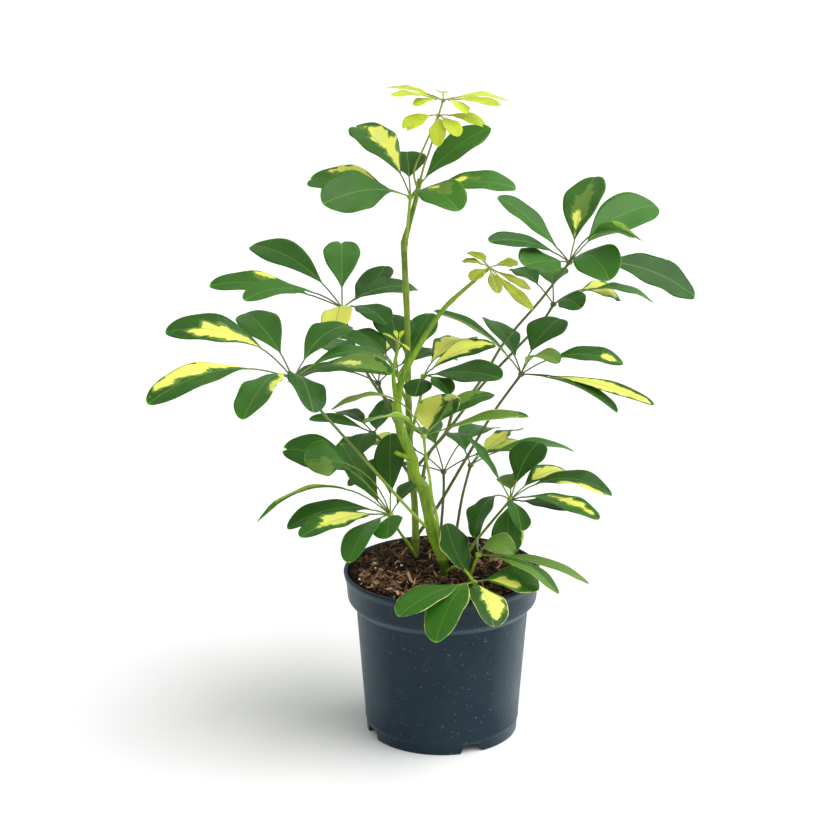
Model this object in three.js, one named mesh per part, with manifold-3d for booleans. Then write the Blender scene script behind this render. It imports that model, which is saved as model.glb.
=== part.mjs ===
// Umbrella plant in a nursery pot. Millimetres, +Z up, +X right, +Y away from the viewer.
// The origin is the middle of the pot's foot, on the surface that the pot stands on.

import * as THREE from 'three';
import Module from 'manifold-3d';
import { mergeVertices } from 'three/addons/utils/BufferGeometryUtils.js';

const wasm = await Module();
wasm.setup();

// ---------------------------------------------------------------- driving dimensions

const GAP = 0.35; // air between touching pieces
const WELD = 1e-4; // corners nearer than this are one corner

const POT = {
  lipRadius: 85, // outside of the rolled lip
  bandRadius: 81.5, // outside of the rim band at its lower edge
  shoulderRadius: 74.3, // body just under the shoulder
  footRadius: 65.5, // outside of the foot
  height: 146,
  bandBottom: 121,
  shoulderBottom: 114,
  wall: 1.6,
  footThickness: 5, // flat foot ring that carries the pot
  floorHeight: 8, // underside of the raised floor
  floorThickness: 2,
  notchWidth: 21, // at the bottom of each foot notch
  notchHeight: 7.5,
  notchTurns: [-157, -67, 23, 113], // degrees from +X towards +Y
  drainRadius: 5,
  drainCircle: 44,
  drainCount: 6,
  sides: 36,
  lipRoll: 1.2,
  rimTaper: 1.4, // how much the band's lower corner is rounded off
};

const SOIL = {
  edgeHeight: 139, // where it meets the pot's wall
  middleHeight: 147,
  roughness: 2.6, // height of the lumps
  rings: 6,
  sectors: 24,
  depth: 128, // from the middle down to the root ball's flat bottom
  clearance: 1.2, // between the root ball and the pot's wall
};

const BLADE = {
  thickness: 0.9,
  fold: 0.16, // rise of the blade's edges above its midrib, share of the half width
  widest: 0.62, // where the blade is widest, share of its length
  bluntness: 0.62,
  stations: [0, 0.28, 0.6, 0.88, 1],
  shortReach: 66, // leaflets shorter than this have the fewer stations
  shortStations: [0, 0.4, 0.78, 1],
  tipShare: 0.22, // width of the blunt tip
  baseShare: 0.1,
  crossedFields: [0, 3], // so that both faces are split alike
};

const LEAFLET_STALK_RADIUS = 0.9;
const YOUNG_STALK_RADIUS = 0.65;
const PETIOLE_RADIUS = 1.5;
const YOUNG_PETIOLE_SHARE = 0.7; // young leaf stalks are thinner by this factor
const HUB_RADIUS = 3.4;
const YOUNG_HUB_RADIUS = 2;
const PETIOLE_SIDES = 5;
const STEM_SIDES = 8;
const TUBE_STEPS = 5; // fewest steps along a stem or stalk

const COLOUR = {
  pot: 0x36444f,
  soil: 0x5a4130,
  leaf: 0x3b7033,
  youngLeaf: 0xb4c83c,
  stem: 0x9dc03a,
  tallStem: 0x7fa63c,
};

// ---------------------------------------------------------------- stems
// A route lists the points of a stem's axis and its radius there: [x, y, z, radius].

const STEMS = {
  main_stem: {
    colour: COLOUR.stem,
    branches: [
      [[2, -20, 84, 3.6], [2, -20, 142, 4.4], [1, -20, 156, 4.6], [0, -20, 164, 5.6],
        [-5, -21, 175, 4.6], [-9, -22, 189, 5.1], [-13, -24, 209, 4.6], [-17, -25, 228, 5.2],
        [-23, -26, 239, 4.4], [-26, -27, 255, 4.7], [-35, -30, 280, 4.1], [-39, -32, 305, 3.8]],
      [[-38, -32, 300, 3], [-34, -32, 325, 2.8], [-21, -30, 351, 2.5], [0, -26, 383, 2],
        [8, -24, 391, 1.9], [36, -20, 415, 1.4]],
      [[-38, -32, 300, 2.4], [-41, -32, 330, 1.7], [-37, -30, 353, 1.3]],
      [[-26, -27, 253, 2], [-33, -31, 258, 2], [-40, -34, 262, 1.9]],
    ],
  },
  tall_stem: {
    colour: COLOUR.tallStem,
    branches: [
      [[-23, 30, 88, 3], [-23, 30, 142, 3.3], [-23, 30, 161, 3.6], [-24, 30, 198, 3.2],
        [-27, 30, 225, 3.6], [-29, 29, 289, 3.1], [-30, 27, 360, 2.8], [-31, 24, 387, 3.1],
        [-32, 19, 412, 2.8], [-32, 15, 430, 3.2], [-28, 18, 445, 2.3], [-22, 23, 467, 2.2],
        [-19, 24, 482, 2.6]],
    ],
  },
};

// ---------------------------------------------------------------- leaves
// petiole: points of the leaf stalk's axis from its foot to the hub, which is the last point.
// foot: the stem that the stalk grows from, or soil.
// leaflets, one row each: [turn, rise, reach, width, roll, arch, stalk]
//   turn   bearing of the leaflet seen from above, degrees from +X towards +Y
//   rise   slope of the line from hub to leaflet tip, degrees above level
//   reach  hub to tip
//   width  blade at its widest
//   roll   turn of the blade about its own length, degrees
//   arch   height of the leaflet's middle above that line
//   stalk  share of the reach that is leaflet stalk, percent

const LEAVES = {
  leaf_crown_upper: {
    foot: 'tall_stem',
    young: true,
    petiole: [[-19, 24, 480], [-16, 24, 492], [-10, 23, 510], [-3, 22, 538], [0, 22, 548]],
    leaflets: [
      [140, 4, 62, 15, 0, 3, 20],
      [225, 10, 60, 15, 10, 3, 20],
      [35, -5, 68, 15, -10, 4, 20],
      [320, 2, 60, 15, -10, 3, 20],
      [90, 0, 40, 14, 0, 3, 30],
      [235, 2, 40, 15, 0, 3, 25],
      [295, -5, 42, 16, 15, 4, 25],
    ],
  },
  leaf_crown_lower: {
    foot: 'tall_stem',
    young: true,
    petiole: [[-21, 23, 473], [-24, 17, 489], [-15, 10, 513], [-4, 8, 538]],
    leaflets: [
      [225, -10, 40, 16, 20, 4, 20],
      [270, -20, 48, 15, -20, 4, 15],
      [290, -12, 46, 15, -5, 3, 20],
      [345, -9, 40, 15, -20, 3, 20],
    ],
  },
  leaf_top_left: {
    foot: 'tall_stem',
    petiole: [[-32, 17, 419], [-30, 8, 440], [-27, 8, 470]],
    leaflets: [
      [127, 32, 93, 36, 10, 11, 20],
      [140, 0, 113, 34, 30, 5, 22],
      [215, 3, 86, 40, 45, 9, 20],
      [94, 34, 54, 31, 0, 3, 36],
      [25, 36, 90, 32, -20, 6, 20],
      [0, 6, 88, 31, -20, 8, 22],
      [303, 1, 72, 37, -15, 12, 16],
    ],
  },
  leaf_upper_left: {
    foot: 'tall_stem',
    petiole: [[-28, 30, 261], [-36, 34, 276], [-52, 40, 290], [-67, 47, 312], [-79, 54, 340],
      [-86, 60, 362]],
    leaflets: [
      [135, 17, 122, 33, 20, 13, 22],
      [180, 11, 116, 30, 22, 8, 25],
      [225, 15, 115, 28, 15, 12, 30],
      [92, 24, 98, 33, 0, 7, 20],
      [65, 12, 88, 32, 5, -3, 26],
      [42, 2, 86, 30, -16, 8, 18],
      [265, -6, 60, 28, -12, 9, 16],
      [300, 4, 78, 28, -5, 6, 26],
    ],
  },
  leaf_left: {
    foot: 'main_stem',
    petiole: [[-11, -22, 189], [-20, -33, 202], [-68, -66, 270], [-120, -104, 346]],
    leaflets: [
      [180, 21, 108, 35, 24, 18, 28],
      [213, 1, 130, 34, 15, 17, 30],
      [250, -3, 98, 35, -12, 17, 22],
      [118, 21, 99, 34, 10, 8, 26],
      [56, 20, 82, 30, -10, 10, 20],
      [42, -2, 105, 24, -10, 14, 16],
      [325, 13, 100, 26, -16, 10, 18],
      [285, -4, 74, 34, 25, 13, 16],
    ],
  },
  leaf_right_high: {
    foot: 'main_stem',
    petiole: [[-18, -25, 230], [-12, -10, 252], [3, 8, 266], [10, 22, 282], [24, 36, 291],
      [39, 48, 310], [51, 58, 328], [64, 68, 342], [86, 88, 362], [111, 98, 393]],
    leaflets: [
      [167, 42, 85, 31, 14, 3, 18],
      [220, 20, 100, 21, 30, 7, 18],
      [72, 36, 104, 38, 10, 5, 20],
      [43, 18, 118, 40, -34, 10, 20],
      [312, 22, 92, 26, 38, 18, 38],
      [12, -17, 122, 36, -42, 11, 22],
      [235, 10, 76, 37, 28, 2, 18],
      [293, 2, 77, 40, -22, 13, 15],
    ],
  },
  leaf_right_behind: {
    foot: 'tall_stem',
    petiole: [[-27, 30, 222], [-12, 42, 236], [10, 60, 258], [36, 82, 287], [66, 102, 314],
      [92, 116, 339], [99, 122, 349]],
    leaflets: [
      [40, -6, 83, 24, -34, 12, 38],
      [26, -6, 106, 27, -10, 15, 38],
      [300, 8, 44, 26, -26, 6, 20],
      [118, 15, 72, 26, 0, 5, 40],
      [88, 12, 76, 30, 0, 5, 38],
    ],
  },
  leaf_right_middle: {
    foot: 'tall_stem',
    petiole: [[-23, 30, 163], [-5, 35, 188], [21, 39, 233], [44, 42, 273], [68, 45, 307]],
    leaflets: [
      [182, 38, 95, 22, 6, 9, 16],
      [108, 20, 84, 36, -22, 8, 20],
      [49, 36, 66, 38, -2, 8, 30],
      [357, 7, 88, 28, -14, 13, 30],
      [328, -2, 128, 20, -8, 6, 22],
      [316, -5, 108, 18, 10, 8, 25],
      [306, 24, 55, 24, -8, 12, 10],
    ],
  },
  leaf_front_centre: {
    foot: 'main_stem',
    petiole: [[0, -21, 165], [-3, -30, 185], [-5, -33, 205], [-9, -36, 222], [-11, -39, 241],
      [-14, -45, 260], [-16, -55, 283]],
    leaflets: [
      [72, 18, 64, 42, 12, -4, 17],
      [51, 9, 95, 22, -12, 7, 18],
      [1, 11, 88, 20, -4, 4, 16],
      [228, 22, 76, 22, -18, 10, 22],
      [195, 20, 83, 18, -5, 24, 38],
    ],
  },
  leaf_centre_left: {
    foot: 'tall_stem',
    petiole: [[-29, 29, 284], [-35, 36, 296], [-38, 40, 308]],
    leaflets: [
      [96, 22, 88, 38, -8, 8, 22],
      [70, 24, 88, 34, 10, -3, 26],
      [131, 24, 66, 30, 0, 8, 28],
      [185, 33, 67, 28, 8, 9, 24],
      [228, 28, 78, 24, -10, 7, 20],
      [54, 9, 60, 24, 5, 5, 22],
    ],
  },
  leaf_centre: {
    foot: 'tall_stem',
    petiole: [[-28, 29, 250], [-24, 20, 272], [-18, 11, 300], [-16, 8, 316]],
    leaflets: [
      [61, 8, 85, 34, 5, 12, 15],
      [21, 18, 69, 25, -15, 7, 12],
      [316, 11, 90, 32, -22, 4, 12],
      [298, -4, 46, 20, 0, 5, 28],
      [258, -12, 36, 24, 0, 4, 26],
    ],
  },
  leaf_low_left: {
    foot: 'soil',
    petiole: [[-21, 22, 112], [-21, 21, 143], [-27, 12, 160], [-38, -12, 186], [-44, -38, 208]],
    leaflets: [
      [170, 31, 107, 38, 28, 15, 42],
      [197, 37, 92, 34, 42, 18, 66],
      [190, 1, 114, 20, -30, 28, 30],
      [196, -2, 89, 32, 10, 12, 16],
      [229, 6, 110, 28, 8, 7, 16],
      [243, -14, 75, 36, -22, 11, 18],
      [268, -2, 50, 28, -24, 4, 18],
      [131, 38, 79, 33, -4, -5, 20],
      [90, 54, 72, 31, 30, 5, 22],
      [62, 17, 58, 26, 20, 4, 20],
    ],
  },
  leaf_low_right: {
    foot: 'soil',
    petiole: [[14, 4, 108], [14, 3, 139], [25, 4, 163], [42, 0, 188], [58, -5, 210]],
    leaflets: [
      [355, 5, 87, 32, -8, 17, 22],
      [310, 6, 108, 24, -6, 10, 16],
      [46, 7, 76, 27, -8, 8, 22],
      [313, 9, 76, 26, -8, 1, 16],
      [60, 37, 64, 33, -4, 6, 24],
      [88, 10, 48, 26, 15, 3, 28],
      [277, -8, 56, 24, 30, 6, 16],
      [262, -56, 50, 28, 12, 8, 10],
      [150, 51, 65, 18, -10, 2, 24],
      [232, -20, 56, 34, -24, 20, 26],
    ],
  },
  leaf_right_inner: {
    foot: 'soil',
    petiole: [[9, 39, 108], [9, 40, 139], [13, 42, 166], [18, 46, 196], [25, 50, 223]],
    leaflets: [
      [31, -3, 112, 22, -6, 13, 20],
      [62, 3, 99, 22, 12, 9, 34],
      [45, 23, 52, 22, 5, 1, 30],
      [106, 13, 60, 26, -10, 5, 28],
    ],
  },
  leaf_rim_front: {
    foot: 'main_stem',
    petiole: [[3, -20, 150], [11, -38, 162], [19, -54, 164], [26, -62, 157]],
    leaflets: [
      [227, -1, 92, 33, 4, 5, 17],
      [246, -16, 84, 38, -14, 14, 14],
      [282, -10, 71, 35, 20, 8, 14],
      [6, -7, 56, 32, -22, 5, 14],
      [127, 48, 56, 35, -12, -5, 12],
    ],
  },
  leaf_rim_right: {
    foot: 'soil',
    petiole: [[20, -33, 118], [22, -35, 140], [25, -42, 160], [30, -50, 177]],
    leaflets: [
      [343, -21, 75, 21, -2, 8, 14],
      [12, -19, 103, 20, -9, 7, 15],
      [92, 12, 58, 14, -70, 3, 10],
      [320, 15, 38, 22, -30, 10, 8],
    ],
  },
  leaf_left_inner: {
    foot: 'tall_stem',
    petiole: [[-26, 30, 218], [-43, 50, 236], [-60, 66, 247]],
    leaflets: [
      [176, 13, 58, 20, 10, 4, 14],
      [125, 6, 58, 22, 0, 5, 20],
      [252, -6, 56, 33, -12, 8, 20],
      [228, -14, 44, 24, 0, 5, 20],
      [80, 14, 60, 26, 20, -5, 18],
    ],
  },
  leaf_young_right: {
    foot: 'main_stem',
    young: true,
    petiole: [[35.4, -20, 414.4], [36.4, -20, 415.4], [38, -20, 417]],
    leaflets: [
      [115, 15, 30, 12, -10, 1, 25],
      [165, 10, 24, 11, 10, 2, 25],
      [238, -10, 29, 13, 10, 2, 20],
      [355, 8, 24, 14, -18, 2, 20],
      [282, -25, 33, 12, 6, 1, 15],
      [310, -25, 58, 12, -12, 0, 18],
      [338, -22, 39, 11, -16, 0, 15],
      [140, 23, 25, 11, 5, 2, 25],
    ],
  },
  leaf_bud: {
    foot: 'main_stem',
    young: true,
    petiole: [[-37.2, -30, 352.4], [-37, -30, 354], [-37, -30, 356]],
    leaflets: [
      [170, 30, 15, 4, 0, 1, 20],
      [110, 44, 12, 4, 0, 1, 25],
      [60, 44, 12, 4, 0, 1, 25],
      [320, -20, 13, 4, 0, 1, 20],
    ],
  },
  leaf_back_low: {
    foot: 'soil',
    petiole: [[-2, 50, 110], [-2, 51, 139], [0, 66, 164], [2, 84, 188], [2, 94, 202]],
    leaflets: [
      [20, 2, 100, 33, -6, 14, 28],
      [62, 8, 98, 35, 0, 15, 30],
      [104, 6, 100, 36, 4, 16, 30],
      [146, 4, 98, 34, 6, 15, 28],
      [190, -4, 88, 30, 8, 12, 26],
    ],
  },
  leaf_back_left: {
    foot: 'tall_stem',
    petiole: [[-27, 30, 238], [-38, 58, 254], [-50, 84, 272], [-56, 96, 284]],
    leaflets: [
      [40, 4, 92, 32, -4, 13, 28],
      [84, 8, 96, 35, 0, 14, 30],
      [128, 6, 98, 35, 4, 15, 30],
      [168, -2, 84, 30, 6, 12, 28],
    ],
  },
};

// ---------------------------------------------------------------- solids

// One solid from a closed mesh.
function toSolid(geometry) {
  const bare = geometry.clone();
  bare.deleteAttribute('normal');
  bare.deleteAttribute('uv');
  const merged = mergeVertices(bare, WELD);
  return new wasm.Manifold(new wasm.Mesh({
    numProp: 3,
    vertProperties: new Float32Array(merged.attributes.position.array),
    triVerts: new Uint32Array(merged.index.array),
  }));
}

function toGeometry(solid) {
  const mesh = solid.getMesh();
  const geometry = new THREE.BufferGeometry();
  geometry.setAttribute('position', new THREE.BufferAttribute(mesh.vertProperties, 3));
  geometry.setIndex(new THREE.BufferAttribute(mesh.triVerts, 1));
  geometry.computeVertexNormals();
  return geometry;
}

function join(solids) {
  return solids.reduce((whole, solid) => whole.add(solid));
}

// A closed skin through rings that all have the same number of points. The four-sided fields
// whose number is in crossed are split along their other diagonal.
function loft(rings, crossed = []) {
  const sides = rings[0].length;
  const index = [];
  for (let r = 0; r < rings.length - 1; r += 1) {
    for (let i = 0; i < sides; i += 1) {
      const j = (i + 1) % sides;
      const a = r * sides + i;
      const b = r * sides + j;
      if (crossed.includes(i)) {
        index.push(a, b, a + sides, b, b + sides, a + sides);
      } else {
        index.push(a, b, b + sides, a, b + sides, a + sides);
      }
    }
  }
  const last = (rings.length - 1) * sides;
  for (let i = 1; i < sides - 1; i += 1) {
    index.push(0, i + 1, i, last, last + i, last + i + 1);
  }
  const geometry = new THREE.BufferGeometry().setFromPoints(rings.flat());
  geometry.setIndex(index);
  return geometry;
}

// A round tube along a smooth route of [x, y, z, radius], swollen by extra.
function tube(route, sides, extra = 0) {
  const axis = new THREE.CatmullRomCurve3(route.map(([x, y, z]) => new THREE.Vector3(x, y, z)));
  const spans = route.length - 1;
  const steps = Math.max(spans, TUBE_STEPS);
  const rings = [];
  let side = new THREE.Vector3(1, 0, 0);
  for (let s = 0; s <= steps; s += 1) {
    const along = s / steps;
    const centre = axis.getPoint(along);
    const tangent = axis.getTangent(along);
    side = side.clone().addScaledVector(tangent, -side.dot(tangent)).normalize();
    const front = new THREE.Vector3().crossVectors(tangent, side);
    const span = Math.min(Math.floor(along * spans), spans - 1);
    const radius = THREE.MathUtils.lerp(route[span][3], route[span + 1][3], along * spans - span);
    const ring = [];
    for (let i = 0; i < sides; i += 1) {
      const turn = (2 * Math.PI * i) / sides;
      ring.push(centre.clone()
        .addScaledVector(side, (radius + extra) * Math.cos(turn))
        .addScaledVector(front, (radius + extra) * Math.sin(turn)));
    }
    rings.push(ring);
  }
  return toSolid(loft(rings));
}

// ---------------------------------------------------------------- pot and soil

function turned(profile, sides) {
  const points = profile.map(([radius, height]) => new THREE.Vector2(radius, height));
  const geometry = new THREE.LatheGeometry(points, sides);
  geometry.rotateX(Math.PI / 2);
  return toSolid(geometry);
}

// Outer and inner outline of the pot, from the floor's middle round the foot to the lip and back.
function potProfile() {
  const p = POT;
  const innerFoot = p.footRadius - p.footThickness;
  const floorTop = p.floorHeight + p.floorThickness;
  const underShoulder = p.shoulderBottom - 2;
  return [
    [0, p.floorHeight],
    [innerFoot - 3, p.floorHeight],
    [innerFoot, p.floorHeight - 3],
    [innerFoot, 0],
    [p.footRadius, 0],
    [p.footRadius + 0.6, 9.6],
    [p.footRadius + 1, 10.4],
    [p.shoulderRadius, p.shoulderBottom - 4],
    [p.shoulderRadius + 1.6, p.shoulderBottom],
    [p.bandRadius - p.rimTaper, p.bandBottom - p.rimTaper],
    [p.bandRadius, p.bandBottom + 1.6],
    [p.lipRadius - p.lipRoll, p.height - 5],
    [p.lipRadius, p.height - 3.6],
    [p.lipRadius - 0.3, p.height - p.lipRoll],
    [p.lipRadius - p.lipRoll, p.height],
    [p.lipRadius - 2.6, p.height - 0.5],
    [p.bandRadius - p.wall - 0.2, p.bandBottom + 1.2],
    [p.shoulderRadius - p.wall, underShoulder],
    [p.footRadius - p.wall + 0.4, floorTop + 4],
    [p.footRadius - p.wall - 2.4, floorTop],
    [0, floorTop],
  ];
}

// Wedge that cuts one foot notch: narrower at the top than at the bottom.
function notchCutter(turnDegrees) {
  const half = POT.notchWidth / 2;
  const outline = new THREE.Shape([
    new THREE.Vector2(-half - 1, -1),
    new THREE.Vector2(half + 1, -1),
    new THREE.Vector2(half - 3.2, POT.notchHeight),
    new THREE.Vector2(-half + 3.2, POT.notchHeight),
  ]);
  const wedge = new THREE.ExtrudeGeometry(outline, { depth: 14, bevelEnabled: false });
  wedge.rotateX(Math.PI / 2);
  wedge.rotateZ(Math.PI);
  wedge.translate(0, POT.footRadius - 9, 0);
  wedge.rotateZ(THREE.MathUtils.degToRad(turnDegrees - 90));
  return toSolid(wedge);
}

function drainCutter(turn) {
  const hole = new THREE.CylinderGeometry(POT.drainRadius, POT.drainRadius, 8, 10);
  hole.rotateX(Math.PI / 2);
  hole.translate(POT.drainCircle, 0, POT.floorHeight + 1);
  hole.rotateZ(turn);
  return toSolid(hole);
}

function pot() {
  let solid = turned(potProfile(), POT.sides);
  for (const turn of POT.notchTurns) {
    solid = solid.subtract(notchCutter(turn));
  }
  for (let i = 0; i < POT.drainCount; i += 1) {
    solid = solid.subtract(drainCutter((2 * Math.PI * (i + 0.5)) / POT.drainCount));
  }
  return solid;
}

// Height of the soil: a low mound with lumps from three crossed waves.
function soilHeight(x, y, share) {
  const mound = THREE.MathUtils.lerp(SOIL.middleHeight, SOIL.edgeHeight, share ** 3);
  const lumps = Math.sin(x * 0.21 + 1.3) * Math.cos(y * 0.17 - 0.4)
    + 0.6 * Math.sin(x * 0.37 - y * 0.29 + 2.1);
  return mound + SOIL.roughness * lumps * (1 - 0.5 * share) * 0.6;
}

// Radius of the pot's inside at a height, between the floor and the shoulder and above it.
function insideRadius(height) {
  const low = POT.footRadius - POT.wall + 0.4;
  const high = POT.shoulderRadius - POT.wall;
  const lowHeight = POT.floorHeight + POT.floorThickness + 4;
  const highHeight = POT.shoulderBottom - 2;
  if (height < highHeight) {
    return THREE.MathUtils.mapLinear(height, lowHeight, highHeight, low, high);
  }
  const band = POT.bandRadius - POT.wall - 0.2;
  return THREE.MathUtils.mapLinear(height, highHeight, POT.bandBottom + 1.2, high, band);
}

function soil() {
  const bottom = SOIL.middleHeight - SOIL.depth;
  const clear = SOIL.clearance;
  const ringAt = (radius, heightOf) => {
    const ring = [];
    for (let i = 0; i < SOIL.sectors; i += 1) {
      const turn = (2 * Math.PI * i) / SOIL.sectors;
      const x = radius * Math.cos(turn);
      const y = radius * Math.sin(turn);
      ring.push(new THREE.Vector3(x, y, heightOf(x, y)));
    }
    return ring;
  };
  const belt = POT.shoulderBottom - 3;
  const topRadius = POT.bandRadius - POT.wall - 1;
  const rings = [ringAt(insideRadius(bottom) - clear, () => bottom)];
  rings.push(ringAt(insideRadius(belt) - clear, () => belt));
  rings.push(ringAt(topRadius - clear, () => POT.bandBottom + 3));
  for (let r = SOIL.rings; r > 0; r -= 1) {
    const share = r / SOIL.rings;
    rings.push(ringAt((topRadius - clear) * share, (x, y) => soilHeight(x, y, share)));
  }
  let solid = toSolid(loft(rings));
  const rooted = [...Object.values(STEMS).map((stem) => tube(stem.branches[0], STEM_SIDES, GAP))];
  for (const leaf of Object.values(LEAVES)) {
    if (leaf.foot === 'soil') {
      rooted.push(petioleTube(leaf, GAP));
    }
  }
  for (const hole of rooted) {
    solid = solid.subtract(hole);
  }
  return solid;
}

// ---------------------------------------------------------------- leaves

// Half width of a blade at a share of its length, as a share of its widest half width.
function bladeOutline(share) {
  const power = Math.log(0.5) / Math.log(BLADE.widest);
  return Math.sin(Math.PI * share ** power) ** BLADE.bluntness;
}

// One leaflet: a thin stalk and a folded, arched blade in one closed skin.
function leaflet(hub, row, young) {
  const [turn, rise, reach, width, roll, arch, stalkPercent] = row;
  const bearing = THREE.MathUtils.degToRad(turn);
  const slope = THREE.MathUtils.degToRad(rise);
  const chord = new THREE.Vector3(
    Math.cos(slope) * Math.cos(bearing),
    Math.cos(slope) * Math.sin(bearing),
    Math.sin(slope),
  );
  const lift = new THREE.Vector3(0, 0, 1).addScaledVector(chord, -chord.z).normalize();
  const stalk = stalkPercent / 100;
  const stalkRadius = young ? YOUNG_STALK_RADIUS : LEAFLET_STALK_RADIUS;
  const stations = reach < BLADE.shortReach ? BLADE.shortStations : BLADE.stations;

  const ringAt = (along, half, thickness, edgeRise) => {
    const centre = hub.clone()
      .addScaledVector(chord, reach * along)
      .addScaledVector(lift, 4 * arch * along * (1 - along));
    const tangent = chord.clone()
      .multiplyScalar(reach)
      .addScaledVector(lift, 4 * arch * (1 - 2 * along))
      .normalize();
    const flat = new THREE.Vector3().crossVectors(tangent, lift).normalize();
    const face = new THREE.Vector3().crossVectors(flat, tangent);
    const tilt = THREE.MathUtils.degToRad(roll);
    const side = flat.clone().multiplyScalar(Math.cos(tilt)).addScaledVector(face, Math.sin(tilt));
    const normal = new THREE.Vector3().crossVectors(side, tangent);
    const point = (across, up) => centre.clone()
      .addScaledVector(side, across)
      .addScaledVector(normal, up);
    const thin = thickness / 2;
    return [
      point(-half, edgeRise + thin), point(0, thin), point(half, edgeRise + thin),
      point(half, edgeRise - thin), point(0, -thin), point(-half, edgeRise - thin),
    ];
  };

  const rings = [ringAt(0, stalkRadius, stalkRadius * 2, 0)];
  for (const share of stations) {
    const along = stalk + (1 - stalk) * share;
    let half = (width / 2) * bladeOutline(share);
    half = Math.max(half, (width / 2) * (share < 0.5 ? BLADE.baseShare : BLADE.tipShare));
    rings.push(ringAt(along, half, BLADE.thickness, half * BLADE.fold));
  }
  return toSolid(loft(rings, BLADE.crossedFields));
}

function petioleTube(leaf, extra = 0) {
  const radius = PETIOLE_RADIUS * (leaf.young ? YOUNG_PETIOLE_SHARE : 1);
  const last = leaf.petiole.length - 1;
  const route = leaf.petiole.map(([x, y, z], i) => [x, y, z, radius * (1.25 - (0.35 * i) / last)]);
  return tube(route, PETIOLE_SIDES, extra);
}

function leaf(spec) {
  const hub = new THREE.Vector3(...spec.petiole[spec.petiole.length - 1]);
  const knob = new THREE.IcosahedronGeometry(spec.young ? YOUNG_HUB_RADIUS : HUB_RADIUS, 0);
  knob.translate(hub.x, hub.y, hub.z);
  const pieces = [toSolid(knob), petioleTube(spec)];
  for (const row of spec.leaflets) {
    pieces.push(leaflet(hub, row, spec.young));
  }
  let solid = join(pieces);
  if (spec.foot !== 'soil') {
    solid = solid.subtract(stem(STEMS[spec.foot], GAP));
  }
  return solid;
}

function stem(spec, extra = 0) {
  return join(spec.branches.map((route) => tube(route, STEM_SIDES, extra)));
}

// ---------------------------------------------------------------- the plant

const plant = new THREE.Group();

function add(name, solid, colour, roughness) {
  const material = new THREE.MeshStandardMaterial({ color: colour, roughness, metalness: 0 });
  const mesh = new THREE.Mesh(toGeometry(solid), material);
  mesh.name = name;
  plant.add(mesh);
}

add('pot', pot(), COLOUR.pot, 0.5);
add('soil', soil(), COLOUR.soil, 0.95);
for (const [name, spec] of Object.entries(STEMS)) {
  add(name, stem(spec), spec.colour, 0.5);
}
for (const [name, spec] of Object.entries(LEAVES)) {
  add(name, leaf(spec), spec.young ? COLOUR.youngLeaf : COLOUR.leaf, 0.35);
}

export default plant;
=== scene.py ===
"""Potted umbrella plant: two stems with hand-shaped variegated leaves in a round nursery pot.

Sizes are in millimetres and become metres where a mesh is made. Colours are sRGB hex values.
+Z is up, +X is to the right of the side that faces the camera and +Y points away from it.
"""

import logging
import math
import random
from dataclasses import dataclass
from enum import Enum
from functools import partial
from typing import Any, Callable, Iterable

import bmesh
import bpy
import numpy as np
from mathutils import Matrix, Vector


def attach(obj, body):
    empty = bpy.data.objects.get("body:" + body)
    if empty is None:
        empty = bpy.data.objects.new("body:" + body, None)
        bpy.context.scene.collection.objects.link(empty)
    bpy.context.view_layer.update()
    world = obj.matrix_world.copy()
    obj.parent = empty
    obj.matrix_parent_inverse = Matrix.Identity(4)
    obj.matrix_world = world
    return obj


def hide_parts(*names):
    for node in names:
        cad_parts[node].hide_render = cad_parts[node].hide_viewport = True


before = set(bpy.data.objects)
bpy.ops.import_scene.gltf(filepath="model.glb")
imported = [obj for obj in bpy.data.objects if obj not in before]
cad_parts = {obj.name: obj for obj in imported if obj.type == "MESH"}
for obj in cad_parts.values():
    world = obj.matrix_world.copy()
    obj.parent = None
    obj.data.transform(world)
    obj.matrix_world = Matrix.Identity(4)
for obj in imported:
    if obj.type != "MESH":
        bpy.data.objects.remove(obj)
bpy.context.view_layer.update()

METRES = 0.001
BODY = "root"
Point = tuple[float, float, float]
Route = list[tuple[float, float, float, float]]
log = logging.getLogger("umbrella_plant")
# settings that many nodes share
COLOURS = {"data_type": "RGBA"}
SMOOTH = {"interpolation_type": "SMOOTHSTEP"}


# ---------------------------------------------------------------- shared tools


def linear(colour: str) -> tuple[float, float, float, float]:
    """Turns an sRGB hex colour into linear light.

    Args:
        colour: a hash sign and six hex digits.

    Returns:
        Red, green, blue and full opacity.
    """
    parts = [int(colour[i:i + 2], 16) / 255 for i in (1, 3, 5)]
    light = [c / 12.92 if c <= 0.04045 else ((c + 0.055) / 1.055) ** 2.4 for c in parts]
    return (light[0], light[1], light[2], 1.0)


def node(tree: bpy.types.NodeTree, kind: str, inputs: dict | None = None,
         ramp: list[tuple[float, str]] | None = None, **settings: Any) -> bpy.types.Node:
    """Adds a node with its settings and links.

    Args:
        tree: the material's node tree.
        kind: the node's type name without the word that all begin with.
        inputs: for each socket, by name or number, a number, a hex colour, the socket that feeds
            it, or the node whose first open socket does.
        ramp: positions and colours of a colour ramp, where the node is one.
        settings: the node's own properties.

    Returns:
        The new node.
    """
    made = tree.nodes.new(f"ShaderNode{kind}")
    for name, value in settings.items():
        setattr(made, name, value)
    for place, (position, colour) in enumerate(ramp or []):
        stops = made.color_ramp.elements
        stop = stops[place] if place < len(stops) else stops.new(position)
        stop.position = position
        stop.color = linear(colour)
    for key, value in (inputs or {}).items():
        if isinstance(value, bpy.types.Node):
            value = next(socket for socket in value.outputs if socket.enabled)
        if isinstance(value, bpy.types.NodeSocket):
            tree.links.new(value, made.inputs[key])
        else:
            made.inputs[key].default_value = linear(value) if isinstance(value, str) else value
    return made


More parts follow.
